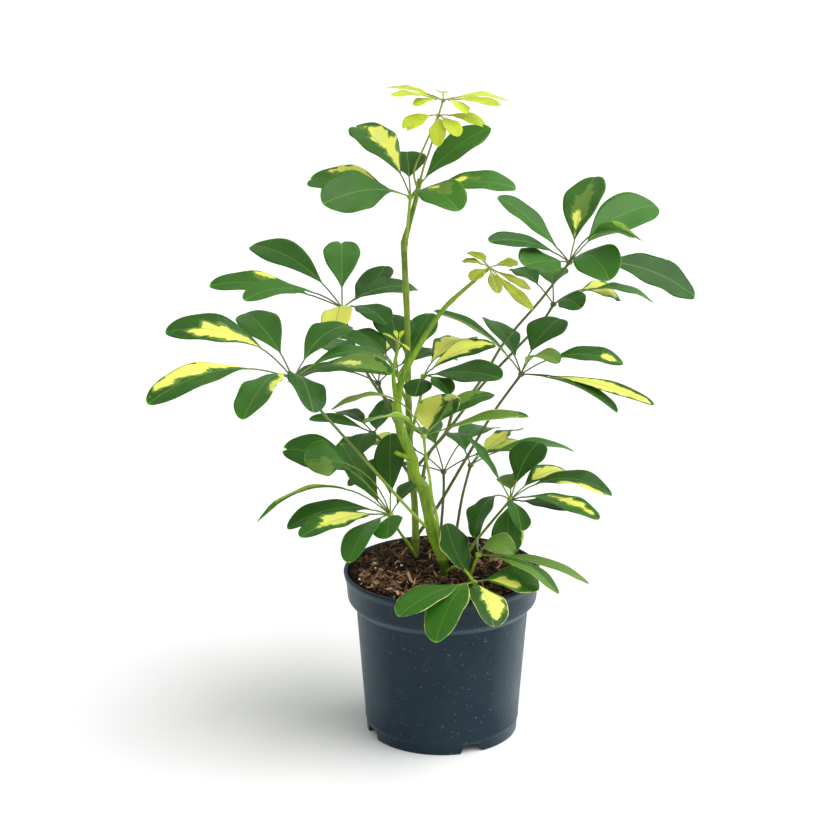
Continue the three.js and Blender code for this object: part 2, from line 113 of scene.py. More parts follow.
def smooth_route(route: Iterable[tuple[float, ...]], step: float) -> np.ndarray:
    """Draws a centripetal Catmull-Rom curve through given points.

    Args:
        route: points [x, y, z, ...]; numbers after z are blended along.
        step: about how far apart the samples lie.

    Returns:
        One row for each sample.
    """
    given = np.array(list(route), dtype=float)
    ends = [2 * given[0] - given[1], 2 * given[-1] - given[-2]]
    points = np.vstack([ends[0], given, ends[1]])
    rows = []
    for i in range(1, len(points) - 2):
        p0, p1, p2, p3 = points[i - 1:i + 3]
        d0, d1, d2 = (max(math.sqrt(np.linalg.norm(b[:3] - a[:3])), 1e-4)
                      for a, b in ((p0, p1), (p1, p2), (p2, p3)))
        start = ((p1 - p0) / d0 - (p2 - p0) / (d0 + d1) + (p2 - p1) / d1) * d1
        end = ((p2 - p1) / d1 - (p3 - p1) / (d1 + d2) + (p3 - p2) / d2) * d1
        count = max(2, round(np.linalg.norm(p2[:3] - p1[:3]) / step))
        for u in np.arange(count) / count:
            curve = ((2 * u**3 - 3 * u**2 + 1) * p1 + (u**3 - 2 * u**2 + u) * start
                     + (3 * u**2 - 2 * u**3) * p2 + (u**3 - u**2) * end)
            curve[3:] = p1[3:] + (p2[3:] - p1[3:]) * u
            rows.append(curve)
    rows.append(points[-2])
    return np.array(rows)


def circle(radius: float, height: float, turns: Iterable[float]) -> np.ndarray:
    """Gives points on a level circle.

    Args:
        radius: its radius.
        height: how high it lies.
        turns: the points' directions, in degrees.

    Returns:
        One row for each point.
    """
    angles = np.radians(list(turns))
    return np.stack([radius * np.cos(angles), radius * np.sin(angles),
                     np.full_like(angles, height)], axis=1)


def ball(detail: int, radius: float = 1.0) -> tuple[np.ndarray, list[tuple[int, ...]]]:
    """Makes a ball of triangles.

    Args:
        detail: how finely it is divided.
        radius: its radius.

    Returns:
        Points and faces.
    """
    made = bmesh.new()
    bmesh.ops.create_icosphere(made, subdivisions=detail, radius=radius)
    points = np.array([corner.co[:] for corner in made.verts])
    faces = [tuple(corner.index for corner in face.verts) for face in made.faces]
    made.free()
    return points, faces


def into_scene(name: str, data: bpy.types.ID) -> bpy.types.Object:
    """Makes an object and puts it in the scene.

    Args:
        name: the object's name.
        data: its mesh, camera or lamp.

    Returns:
        The object.
    """
    made = bpy.data.objects.new(name, data)
    bpy.context.scene.collection.objects.link(made)
    return made


class Mesh:
    """A growing mesh in millimetres with named values at its points."""

    def __init__(self) -> None:
        """Starts with nothing in it."""
        self.points: list[np.ndarray] = []
        self.faces: list[tuple[int, ...]] = []
        self.slots: list[int] = []
        self.values: dict[str, list[np.ndarray]] = {}
        self.count = 0

    def add(self, points: np.ndarray, faces: Iterable[tuple[int, ...]], slot: int = 0,
            **values: np.ndarray) -> None:
        """Adds a closed form.

        Args:
            points: one row for each point.
            faces: corners of each face, counted from this form's first point.
            slot: material slot of the faces.
            values: for each attribute, one number or one row of three for each point.
        """
        base = self.count
        new_faces = [tuple(corner + base for corner in face) for face in faces]
        self.faces += new_faces
        self.slots += [slot] * len(new_faces)
        self.points.append(points)
        self.count += len(points)
        for name, rows in values.items():
            self.values.setdefault(name, []).append(np.asarray(rows, dtype=float))

    def skin(self, rings: list[np.ndarray], slot: int = 0, poles: list[Point] | None = None,
             **values: float) -> None:
        """Joins rings of points into a closed form.

        Args:
            rings: arrays of points, as many in each.
            slot: material slot of the faces.
            poles: a point that closes each end; without them the ends are flat.
            values: for each attribute, one number for the whole form.
        """
        n, last = len(rings[0]), (len(rings) - 1) * len(rings[0])
        points = np.vstack([*rings, *(poles or [])])
        faces: list[tuple[int, ...]] = [
            (r * n + i, r * n + (i + 1) % n, (r + 1) * n + (i + 1) % n, (r + 1) * n + i)
            for r in range(len(rings) - 1) for i in range(n)]
        if poles:
            faces += [(last + n, (i + 1) % n, i) for i in range(n)]
            faces += [(last + i, last + (i + 1) % n, last + n + 1) for i in range(n)]
        else:
            faces += [tuple(reversed(range(n))), tuple(range(last, last + n))]
        spread = {name: np.full(len(points), value) for name, value in values.items()}
        self.add(points, faces, slot, **spread)

    def tube(self, rows: np.ndarray, sides: int, slot: int = 0) -> None:
        """Adds a round closed tube.

        Args:
            rows: x, y, z and radius for each ring.
            sides: points round each ring.
            slot: material slot of the faces.
        """
        centres = rows[:, :3]
        tangents = np.gradient(centres, axis=0)
        tangents /= np.linalg.norm(tangents, axis=1)[:, None]
        side = np.array([1.0, 0.0, 0.0]) if abs(tangents[0][0]) < 0.9 else np.array([0, 1.0, 0])
        turns = 2 * np.pi * np.arange(sides) / sides
        rings = []
        for centre, tangent, radius in zip(centres, tangents, rows[:, 3]):
            side = side - tangent * side.dot(tangent)
            side /= np.linalg.norm(side)
            front = np.cross(tangent, side)
            rings.append(centre + radius * (np.outer(np.cos(turns), side)
                                            + np.outer(np.sin(turns), front)))
        self.skin(rings, slot)

    def piece(self, name: str, materials: list[bpy.types.Material]) -> bpy.types.Object:
        """Makes the Blender object.

        Args:
            name: the piece's name.
            materials: one for each slot.

        Returns:
            The object, riding on the plant's one body.
        """
        data = bpy.data.meshes.new(name)
        data.from_pydata(np.vstack(self.points) * METRES, [], self.faces)
        for material in materials:
            data.materials.append(material)
        data.polygons.foreach_set("material_index", self.slots)
        data.polygons.foreach_set("use_smooth", [True] * len(self.faces))
        for key, parts in self.values.items():
            rows = np.concatenate(parts)
            kind, entry = ("FLOAT_VECTOR", "vector") if rows.ndim == 2 else ("FLOAT", "value")
            data.attributes.new(key, kind, "POINT").data.foreach_set(entry, rows.ravel())
        data.validate()
        data.update()
        made = into_scene(name, data)
        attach(made, BODY)
        log.info("%s: %d faces", name, len(data.polygons))
        return made


def settle(piece: bpy.types.Object) -> None:
    """Replaces a piece's mesh by what its modifiers make of it.

    Args:
        piece: the object, whose modifiers are then gone.
    """
    graph = bpy.context.evaluated_depsgraph_get()
    shaped = bpy.data.meshes.new_from_object(piece.evaluated_get(graph))
    piece.modifiers.clear()
    old = piece.data
    piece.data = shaped
    bpy.data.meshes.remove(old)
    shaped.name = piece.name


class Tone(Enum):
    """Colours that a patch of a blade may have, as places in the marks attribute."""

    YELLOW = 0
    MIDDLE = 1
    CREAM = 2


# ---------------------------------------------------------------- finishes


@dataclass(frozen=True)
class Coat:
    """What the nodes of one finish give.

    ground is the colour below all else, height feeds the relief, each layer is a mask with the
    colour that it lets through, and roughness is there only where it varies.
    """

    ground: bpy.types.Node | str
    height: bpy.types.Node
    layers: Iterable[tuple[bpy.types.Node, bpy.types.Node | str]] = ()
    roughness: bpy.types.Node | None = None


@dataclass(frozen=True)
class Finish:
    """What all finishes share: a material with one shader, painted by its own nodes."""

    name: str = "finish"
    roughness: float = 0.5
    shine: float = 0.5
    refraction: float = 1.45
    glow_depth: float = 0.0
    glow_spread: tuple[float, float, float] = (0.6, 1.0, 0.25)
    relief: float = 0.4
    relief_depth: float = 0.5

    def material(self) -> bpy.types.Material:
        """Makes the material, or finds it when it is there.

        Returns:
            The material.
        """
        found = bpy.data.materials.get(self.name)
        if found:
            return found
        made = bpy.data.materials.new(self.name)
        made.use_nodes = True
        tree = made.node_tree
        tree.nodes.clear()
        add = partial(node, tree)
        coat = self.paint(add)
        colour = coat.ground
        for mask, over in coat.layers:
            colour = add("Mix", {0: mask, 6: colour, 7: over}, **COLOURS)
        bump = add("Bump", {"Height": coat.height, "Strength": self.relief,
                            "Distance": self.relief_depth * METRES})
        inputs = {"Base Color": colour, "Normal": bump, "IOR": self.refraction,
                  "Roughness": self.roughness if coat.roughness is None else coat.roughness,
                  "Specular IOR Level": self.shine}
        if self.glow_depth:
            inputs |= {"Subsurface Weight": 1.0, "Subsurface Radius": self.glow_spread,
                       "Subsurface Scale": self.glow_depth * METRES}
        add("OutputMaterial", {"Surface": add("BsdfPrincipled", inputs)})
        return made

    def paint(self, add: Callable[..., bpy.types.Node]) -> Coat:
        """Adds the nodes that colour the shader; each finish has its own.

        Args:
            add: adds a node to the material's tree.

        Returns:
            What the nodes give.
        """
        raise NotImplementedError


@dataclass(frozen=True)
class LeafFace(Finish):
    """One face of a leaf blade: green tissue, with bleached patches that follow the side veins.

    The waxy upper face gives a soft wide gloss; the underside is paler and dull.
    """

    deep: str = "#234d10"
    fresh: str = "#3c6f20"
    middle: str = "#618232"
    yellow: str = "#e9e24e"
    cream: str = "#ccd67a"
    rib: str = "#6f9440"
    rib_width: float = 0.55
    rib_strength: float = 0.6
    vein_spacing: float = 5.5
    vein_width: float = 1.1
    vein_strength: float = 0.05
    vein_groove: float = 0.35
    groove_depth: float = -0.8
    feather: float = 3.0
    feather_reach: float = 0.13
    feather_scale: float = 0.6
    edge_softness: tuple[float, float, float] = (0.03, 0.06, 0.04)
    seed_stride: float = 53.0
    mottle: float = 24.0
    pore_size: float = 1.6
    relief: float = 0.35
    relief_depth: float = 0.4
    shinier: float = 0.05
    duller: float = 0.09

    def paint(self, add: Callable[..., bpy.types.Node]) -> Coat:
        """Paints the tissue, patches, margin and veins from values kept at the points.

        Args:
            add: adds a node to the material's tree.

        Returns:
            What the nodes give.
        """
        blade, marks, seeds = (add("Attribute", attribute_name=name)
                               for name in ("blade", "marks", "seed"))
        _, across, along_veins = add("SeparateXYZ", {0: blade.outputs["Vector"]}).outputs
        depths = add("SeparateXYZ", {0: marks.outputs["Vector"]}).outputs
        seed = seeds.outputs["Fac"]
        # streaks run along the side veins, so they vary fast along the rib and slowly outwards
        far = add("Math", {0: seed, 1: self.seed_stride}, operation="MULTIPLY")
        edges = []
        for width, reach, detail in ((self.feather, self.feather_reach, 2.0),
                                     (self.feather * 3.2, self.feather_reach + 0.07, 1.0)):
            fast = add("Math", {0: along_veins, 1: width}, operation="DIVIDE")
            slow = add("Math", {0: across, 1: width * 4}, operation="DIVIDE")
            at = add("CombineXYZ", {0: fast, 1: slow, 2: far})
            streaks = add("TexNoise", {"Vector": at, "Scale": self.feather_scale,
                                       "Detail": detail, "Roughness": 0.5})
            edges.append(add("MapRange", {0: streaks, 1: 0.3, 2: 0.7, 3: -reach, 4: reach},
                             clamp=False))
        wobble = add("Math", {0: edges[0], 1: edges[1]}, operation="ADD")
        masks = {}
        for tone, depth, soft in zip(Tone, depths, self.edge_softness):
            edge = add("Math", {0: depth, 1: wobble}, operation="ADD")
            masks[tone] = add("MapRange", {0: edge, 1: -soft, 2: soft}, **SMOOTH)
        spread = add("TexCoord").outputs["Object"]
        cloud = add("TexNoise", {"Vector": spread, "Scale": 1000 / self.mottle, "Detail": 4.0,
                                 "Roughness": 0.6})
        cloudy = add("Math", {0: cloud, 1: seed}, operation="ADD")
        freshness = add("MapRange", {0: cloudy, 1: 0.5, 2: 1.5})
        bleached = add("Mix", {0: streaks, 6: self.yellow, 7: self.cream}, **COLOURS)
        off_rib = add("Math", {0: across}, operation="ABSOLUTE")
        rib = add("MapRange", {0: off_rib, 1: self.rib_width * 0.4, 2: self.rib_width,
                               3: self.rib_strength, 4: 0.0}, **SMOOTH)
        beat = add("Math", {0: along_veins, 1: self.vein_spacing / 2}, operation="PINGPONG")
        vein = add("MapRange", {0: beat, 1: 0.0, 2: self.vein_width, 3: 1.0, 4: 0.0}, **SMOOTH)
        faint = add("Math", {0: vein, 1: self.vein_strength}, operation="MULTIPLY")
        layers = [(freshness, self.fresh), (masks[Tone.MIDDLE], self.middle),
                  (masks[Tone.CREAM], self.cream), (masks[Tone.YELLOW], bleached),
                  (rib, self.rib), (faint, self.rib)]
        grain = add("TexNoise",
                    {"Vector": spread, "Scale": 1000 / self.pore_size, "Detail": 2.0})
        groove = add("Math", {0: vein, 1: self.vein_groove, 2: rib}, operation="MULTIPLY_ADD")
        height = add("Math", {0: groove, 1: self.groove_depth, 2: grain},
                     operation="MULTIPLY_ADD")
        gloss = add("MapRange", {0: cloud, 1: 0.3, 2: 0.7, 3: self.roughness - self.shinier,
                                 4: self.roughness + self.duller})
        return Coat(self.deep, height, layers, gloss)


@dataclass(frozen=True)
class GreenBark(Finish):
    """Living stem or leaf stalk, grown with fine lengthwise ribs.

    Gives the eye a smooth satin green that turns to another tone near its foot.
    """

    bright: str = "#a9c93b"
    shade: str = "#6f9424"
    base: str = "#4b4a22"
    base_height: float = 156.0
    base_fade: float = 14.0
    base_strength: float = 0.85
    base_ragged: float = 0.018
    streak: float = 2.2
    stretch: float = 0.12
    patch_size: float = 26.0
    pore_spacing: float = 3.1
    pore_strength: float = 0.45
    scar: str = "#50601c"
    scar_slant: float = 0.28
    scar_strength: float = 0.5
    scar_core: float = 0.2
    scar_reach: float = 0.8
    scars: tuple[float, ...] = ()

    def paint(self, add: Callable[..., bpy.types.Node]) -> Coat:
        """Paints streaks along the stem, pale pores, leaf scars and the foot.

        Args:
            add: adds a node to the material's tree.

        Returns:
            What the nodes give.
        """
        spread = add("TexCoord").outputs["Object"]
        drawn = add("Mapping", {"Vector": spread, "Scale": (1.0, 1.0, self.stretch)})
        streaks = add("TexNoise", {"Vector": drawn, "Scale": 1000 / self.streak, "Detail": 3.0})
        patches = add("TexNoise",
                      {"Vector": spread, "Scale": 1000 / self.patch_size, "Detail": 3.0})
        blend = add("Math", {0: streaks, 1: patches}, operation="ADD")
        green = add("MapRange", {0: blend, 1: 0.72, 2: 1.28})
        right, _, up = add("SeparateXYZ", {0: spread}).outputs
        ragged = add("Math", {0: patches, 1: self.base_ragged, 2: up}, operation="MULTIPLY_ADD")
        foot = add("MapRange", {0: ragged, 1: self.base_height * METRES,
                                2: (self.base_height + self.base_fade) * METRES,
                                3: self.base_strength, 4: 0.0}, **SMOOTH)
        pores = add("TexVoronoi",
                    {"Vector": drawn, "Scale": 1000 / self.pore_spacing, "Randomness": 1.0})
        pore = add("MapRange", {0: pores, 1: 0.08, 2: 0.2, 3: self.pore_strength, 4: 0.0})
        layers = [(green, self.bright), (foot, self.base), (pore, self.bright)]
        slant = add("Math", {0: right, 1: self.scar_slant, 2: up}, operation="MULTIPLY_ADD")
        for height in self.scars:
            gap = add("Math", {0: slant, 1: -height * METRES}, operation="ADD")
            near = add("Math", {0: gap}, operation="ABSOLUTE")
            line = add("MapRange", {0: near, 1: self.scar_core * METRES,
                                    2: self.scar_reach * METRES, 3: self.scar_strength,
                                    4: 0.0}, **SMOOTH)
            layers.append((line, self.scar))
        return Coat(self.shade, streaks, layers)


@dataclass(frozen=True)
class MouldedPot(Finish):
    """Recycled polypropylene, injection moulded in slate blue-grey.

    Gives the eye a satin skin with fine pale specks of filler and a little dust, and a painted
    sheen where the wall turns away.
    """

    body: str = "#0b212d"
    cloud: str = "#132731"
    cloud_size: float = 30.0
    speck: str = "#74889a"
    speck_spacing: float = 3.0
    speck_group: float = 9.0
    dust: str = "#36464f"
    dust_size: float = 14.0
    # edge is the colour of the painted sheen on the glancing sides
    edge: str = "#53636d"
    peel_size: float = 1.4
    dash: tuple[float, float, float] = (0.7, 0.7, 1.5)
    relief: float = 0.22
    relief_depth: float = 0.3
    shinier: float = 0.06
    duller: float = 0.16

    def paint(self, add: Callable[..., bpy.types.Node]) -> Coat:
        """Paints clouds, specks, dust, a painted sheen at the sides and a faint orange-peel relief.

        Args:
            add: adds a node to the material's tree.

        Returns:
            What the nodes give.
        """
        spread = add("TexCoord").outputs["Object"]
        clouds, groups, drift, peel = (
            add("TexNoise", {"Vector": spread, "Scale": 1000 / size, "Detail": detail,
                             "Roughness": rough})
            for size, detail, rough in (
                (self.cloud_size, 5.0, 0.5), (self.speck_group, 2.0, 0.5),
                (self.dust_size, 8.0, 0.75), (self.peel_size, 3.0, 0.5)))
        # the melt ran round the mould, which drew the filler out into level dashes
        drawn = add("Mapping", {"Vector": spread, "Scale": self.dash})
        specks = add("TexVoronoi",
                     {"Vector": drawn, "Scale": 1000 / self.speck_spacing, "Randomness": 1.0})
        big = add("MapRange", {0: groups, 1: 0.4, 2: 0.72, 3: 0.03, 4: 0.3})
        near = add("Math", {0: big, 1: specks}, operation="SUBTRACT")
        # painted sheen: the wall is lightened where it turns away from the eye, standing in for the
        # lamps' glancing reflection
        turned = add("LayerWeight", {"Blend": 0.5}).outputs["Facing"]
        layers = [(add("MapRange", {0: value, 1: low, 2: high, 3: 0.0, 4: most}), over)
                  for value, low, high, most, over in (
                      (clouds, 0.35, 0.7, 1.0, self.cloud), (near, -0.03, 0.14, 0.42, self.speck),
                      (drift, 0.55, 0.8, 0.4, self.dust), (turned, 0.3, 1.0, 0.85, self.edge))]
        gloss = add("MapRange", {0: drift, 1: 0.35, 2: 0.75, 3: self.roughness - self.shinier,
                                 4: self.roughness + self.duller})
        return Coat(self.body, peel, layers, gloss)


@dataclass(frozen=True)
class LooseFibre(Finish):
    """Compost parts, shredded coir, bark or perlite: each scrap has its own tone.

    Gives the eye dull rough scraps between near black and straw.
    """

    tones: tuple[str, ...] = ("#20160f", "#543922", "#8a6440", "#c39a6b")
    grain: float = 0.9
    tone_shift: float = 0.22
    relief: float = 0.8
    relief_depth: float = 0.6

    def paint(self, add: Callable[..., bpy.types.Node]) -> Coat:
        """Paints each scrap by its own seed, with fine grain on it.

        Args:
            add: adds a node to the material's tree.

        Returns:
            What the nodes give.
        """
        seed = add("Attribute", attribute_name="seed").outputs["Fac"]
        spread = add("TexCoord").outputs["Object"]
        grain = add("TexNoise", {"Vector": spread, "Scale": 1000 / self.grain, "Detail": 3.0,
                                 "Roughness": 0.7})
        shift = add("MapRange", {0: grain, 1: 0.3, 2: 0.7, 3: -self.tone_shift,
                                 4: self.tone_shift})
        tone = add("Math", {0: seed, 1: shift}, operation="ADD")
        last = len(self.tones) - 1
        stops = [(place / last, colour) for place, colour in enumerate(self.tones)]
        return Coat(add("ValToRGB", {0: tone}, ramp=stops), grain)


@dataclass(frozen=True)
class PaperFloor(Finish):
    """Seamless white background paper: gives a plain pale ground with a soft shadow."""

    tone: str = "#f4f4f4"
    grain: float = 4.0
    relief: float = 0.02
    relief_depth: float = 1.0

    def paint(self, add: Callable[..., bpy.types.Node]) -> Coat:
        """Paints an even white with a trace of paper grain.

        Args:
            add: adds a node to the material's tree.

        Returns:
            What the nodes give.
        """
        spread = add("TexCoord").outputs["Object"]
        grain = add("TexNoise", {"Vector": spread, "Scale": 1000 / self.grain, "Detail": 2.0})
        return Coat(self.tone, grain)


# a waxed surface over deep green tissue: wide soft gloss
LEAF_TOP = LeafFace(name="waxy_leaf_upper_face", roughness=0.42, shine=0.25, glow_depth=0.6)
# the same tissue without wax, with raised veins: paler and dull, its colours lifted further as painted
# light that stands in for light shining through the leaf
LEAF_UNDER = LeafFace(
    name="matt_leaf_underside", roughness=0.6, shine=0.2, glow_depth=1.3, deep="#34691c",
    fresh="#5c942e", middle="#8fae48", yellow="#fbf65e", cream="#e4ec94", rib="#93b660",
    relief=0.5)
# thin new tissue without much green yet
YOUNG_TOP = LeafFace(
    name="new_leaf_upper_face", roughness=0.42, shine=0.3, glow_depth=0.4, deep="#7f891e",
    fresh="#b9ca33", middle="#adb03a", yellow="#b8b23c", cream="#bcc054", rib="#b9bd5c",
    mottle=12.0, vein_spacing=3.4, rib_width=0.4)
YOUNG_UNDER = LeafFace(
    name="new_leaf_underside", roughness=0.5, shine=0.25, glow_depth=1.1, deep="#bccb3e",
    fresh="#dfe05a", middle="#d6dc74", yellow="#e2e470", cream="#e2e68c", rib="#e2e89c",
    mottle=12.0, vein_spacing=3.4, rib_width=0.4)
# smooth green bark under a thin cuticle: satin, bright on the new wood and olive on the old
# the main stem turns dark below about 163 mm: painted shade where its foot sits under the leaves
LIME_STEM = GreenBark(name="living_stem_lime", roughness=0.42, shine=0.4, bright="#7c9e14",
                      shade="#4e7210", base="#33421a", base_height=163.0,
                      scars=(187.5, 225.5, 247.0, 269.0, 300.0))
OLIVE_STEM = GreenBark(name="living_stem_olive", roughness=0.45, shine=0.4, bright="#80992a",
                       shade="#4c6818", base="#4c4c20")
FRESH_STALK = GreenBark(name="leaf_stalk_fresh", roughness=0.45, shine=0.4, bright="#94b232",
                        shade="#688c20", base="#5f7a22", streak=1.2)
OLD_STALK = GreenBark(name="leaf_stalk_old", roughness=0.5, shine=0.4, bright="#66763a",
                      shade="#414e24", base="#4c5226", streak=1.2)
YOUNG_STALK = GreenBark(name="leaf_stalk_young", roughness=0.5, shine=0.3, bright="#9aa04a",
                        shade="#757c36", base="#757c36", streak=1.0)
LEAFLET_STALK = GreenBark(name="leaflet_stalk_olive", roughness=0.5, shine=0.35,
                          bright="#7c9238", shade="#506628", base="#506628", streak=1.0)
# bark that is olive near the knob and fades to lime where it leaves the stem
LONG_STALK = GreenBark(name="leaf_stalk_lime_foot", roughness=0.5, shine=0.4, bright="#66783a",
                       shade="#435222", base="#9db838", base_height=190.0, base_fade=110.0,
                       streak=1.2)
# filled polypropylene from a polished mould: satin, with pale specks
POT_SKIN = MouldedPot(name="moulded_polypropylene_slate", roughness=0.45, shine=0.24)
# wet peat between the scraps: almost black
SOIL_BED = LooseFibre(name="compost_bed_dark", roughness=0.95, shine=0.2,
                      tones=("#080504", "#150e0a", "#281a12", "#44301f"), grain=2.2)
# torn dry fibre and bark: rough, from dark brown to straw
SOIL_SCRAPS = LooseFibre(name="shredded_coir_and_bark", roughness=0.85, shine=0.3,
                         tones=("#100a07", "#2e1d12", "#694a33", "#c29c78"))
# puffed volcanic glass: chalky white
SOIL_PERLITE = LooseFibre(name="perlite_grains", roughness=0.9, shine=0.3,
                          tones=("#b9b4a8", "#d9d5ca", "#efece4", "#f7f5ef"))
# matt paper, even white
FLOOR_PAPER = PaperFloor(name="white_background_paper", roughness=0.8)


# ---------------------------------------------------------------- pot


@dataclass
class NurseryPot:
    """The moulded pot: rolled lip, rim band, shoulder, tapered body and notched foot ring."""

    lip_radius: float = 85.0
    band_radius: float = 81.5
    shoulder_radius: float = 74.3
    foot_radius: float = 65.5
    height: float = 146.0
    band_bottom: float = 121.0
    shoulder_bottom: float = 114.0
    wall: float = 1.6
    foot_thickness: float = 5.0
    floor_height: float = 8.0
    floor_thickness: float = 2.0
    notch_width: float = 21.0
    notch_height: float = 7.5
    notch_turns: tuple[int, ...] = (-157, -67, 23, 113)
    drain_radius: float = 5.0
    drain_circle: float = 44.0
    drain_count: int = 6
    lip_roll: float = 1.7
    lip_depth: float = 5.4
    chamfer: float = 0.6
    foot_band: float = 9.4
    bead_height: float = 12.2
    bead: float = 0.3
    notch_slope: float = 3.2
    sharp_angle: float = 38.0
    sides: int = 288

    def outline(self) -> list[tuple[float, float]]:
        """Gives the wall's outline.

        Returns:
            Radius and height from the floor's underside round the foot and the lip to its top.
        """
        inner_foot = self.foot_radius - self.foot_thickness
        floor_top = self.floor_height + self.floor_thickness
        lip, band, shoulder, foot = (self.lip_radius, self.band_radius, self.shoulder_radius,
                                     self.foot_radius)
        top, wall = self.height, self.wall
        points = [(0, self.floor_height), (self.drain_circle, self.floor_height),
                  (inner_foot - 3, self.floor_height), (inner_foot - 0.6, self.floor_height - 2),
                  (inner_foot, 0.5), (inner_foot + 0.5, 0), (foot - self.chamfer, 0),
                  (foot, self.chamfer), (foot + 0.5, self.foot_band),
                  (foot + 0.95, self.foot_band + 0.5), (foot + 1.05, self.foot_band + 1.1)]
        ledge = self.shoulder_bottom - 0.6
        # a fine bead runs round just above the foot
        low, bulge = self.bead_height, 1.2 + self.bead
        points += [(foot + 1.15, low), (foot + bulge, low + self.bead), (foot + bulge, low + 1.1)]
        body = (foot + 1.25, low + 1.5), (shoulder, ledge)
        points.append(body[0])
        for share in (0.25, 0.5, 0.75, 1.0):
            points.append(tuple(a + (b - a) * share for a, b in zip(*body)))
        # a moulded ledge, then the shoulder swells out in an S to the band's lower edge
        points += [(shoulder - 0.45, ledge + 0.15), (shoulder - 0.4, ledge + 0.6),
                   (shoulder + 0.9, ledge + 0.75), (shoulder + 1.25, ledge + 0.9)]
        reach = band - 0.4 - shoulder - 1.25
        climb = self.band_bottom - ledge - 0.9
        for step in range(1, 9):
            share = step / 9
            swell = share * share * (3 - 2 * share)
            points.append((shoulder + 1.25 + reach * (0.6 * share + 0.4 * swell),
                           ledge + 0.9 + climb * share))
        points += [(band - 0.2, self.band_bottom + 0.5), (band + 0.1, self.band_bottom + 1.8)]
        rise = top - self.lip_depth - 1 - self.band_bottom
        for share in (0.2, 0.4, 0.6, 0.8):
            points.append((band + (lip - 1.5 - band) * share,
                           self.band_bottom + 1.8 + rise * share))
        points += [(lip - 1.3, top - self.lip_depth), (lip - 0.5, top - self.lip_depth + 0.8)]
        for turn in range(-30, 181, 21):
            roll = math.radians(turn)
            points.append((lip - self.lip_roll + self.lip_roll * math.cos(roll),
                           top - self.lip_roll + self.lip_roll * math.sin(roll)))
        points += [(lip - 2 * self.lip_roll - 0.1, top - 2 * self.lip_roll),
                   (band - wall - 0.2, self.band_bottom + 1.2),
                   (shoulder - wall, self.shoulder_bottom - 2),
                   (foot - wall + 0.4, floor_top + 4), (foot - wall - 2.4, floor_top),
                   (self.drain_circle, floor_top), (0, floor_top)]
        return points

    def notch(self, turn: float) -> float:
        """Gives how high the foot is cut away.

        Args:
            turn: degrees round the pot.

        Returns:
            Height of the notch there, or 0 between the notches.
        """
        deepest = 0.0
        for middle in self.notch_turns:
            gap = abs((turn - middle + 180) % 360 - 180)
            along = math.radians(gap) * self.foot_radius
            side = (self.notch_width / 2 - along) / self.notch_slope
            deepest = max(deepest, min(side, 1.0) * self.notch_height)
        return deepest

    def build(self) -> bpy.types.Object:
        """Turns the outline, cuts the notches and the drain holes.

        Returns:
            The pot.
        """
        turns = [360 * place / self.sides for place in range(self.sides)]
        (_, bottom), *outline, (_, top) = self.outline()
        rings = []
        for number, (radius, height) in enumerate(outline):
            ring = circle(radius, height, turns)
            if number in range(3, 7):
                cuts = np.array([self.notch(turn) for turn in turns])
                ring[:, 2] = np.maximum(height, cuts + 0.001 * number)
            rings.append(ring)
        mesh = Mesh()
        mesh.skin(rings, poles=[(0.0, 0.0, bottom), (0.0, 0.0, top)])
        pot = mesh.piece("nursery_pot", [POT_SKIN.material()])
        self.cut_drains(pot)
        return pot

    def cut_drains(self, pot: bpy.types.Object) -> None:
        """Cuts the round drain holes through the raised floor.

        Args:
            pot: the pot, whose mesh is changed.
        """
        drills = Mesh()
        for place in range(self.drain_count):
            turn = 2 * math.pi * (place + 0.5) / self.drain_count
            x, y = self.drain_circle * math.cos(turn), self.drain_circle * math.sin(turn)
            rows = np.array([[x, y, self.floor_height - 3, self.drain_radius],
                             [x, y, self.floor_height + 6, self.drain_radius]])
            drills.tube(rows, 32)
        drill = drills.piece("drain_drills", [])
        cut = pot.modifiers.new("drains", "BOOLEAN")
        cut.operation = "DIFFERENCE"
        cut.solver = "EXACT"
        cut.object = drill
        settle(pot)
        bpy.data.objects.remove(drill)

    def dress(self, pot: bpy.types.Object) -> None:
        """Smooths the skin and hides the pot's CAD part.

        Args:
            pot: the pot.
        """
        pot.data.shade_smooth()
        pot.data.set_sharp_from_angle(angle=math.radians(self.sharp_angle))
        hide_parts("pot")


# ---------------------------------------------------------------- soil


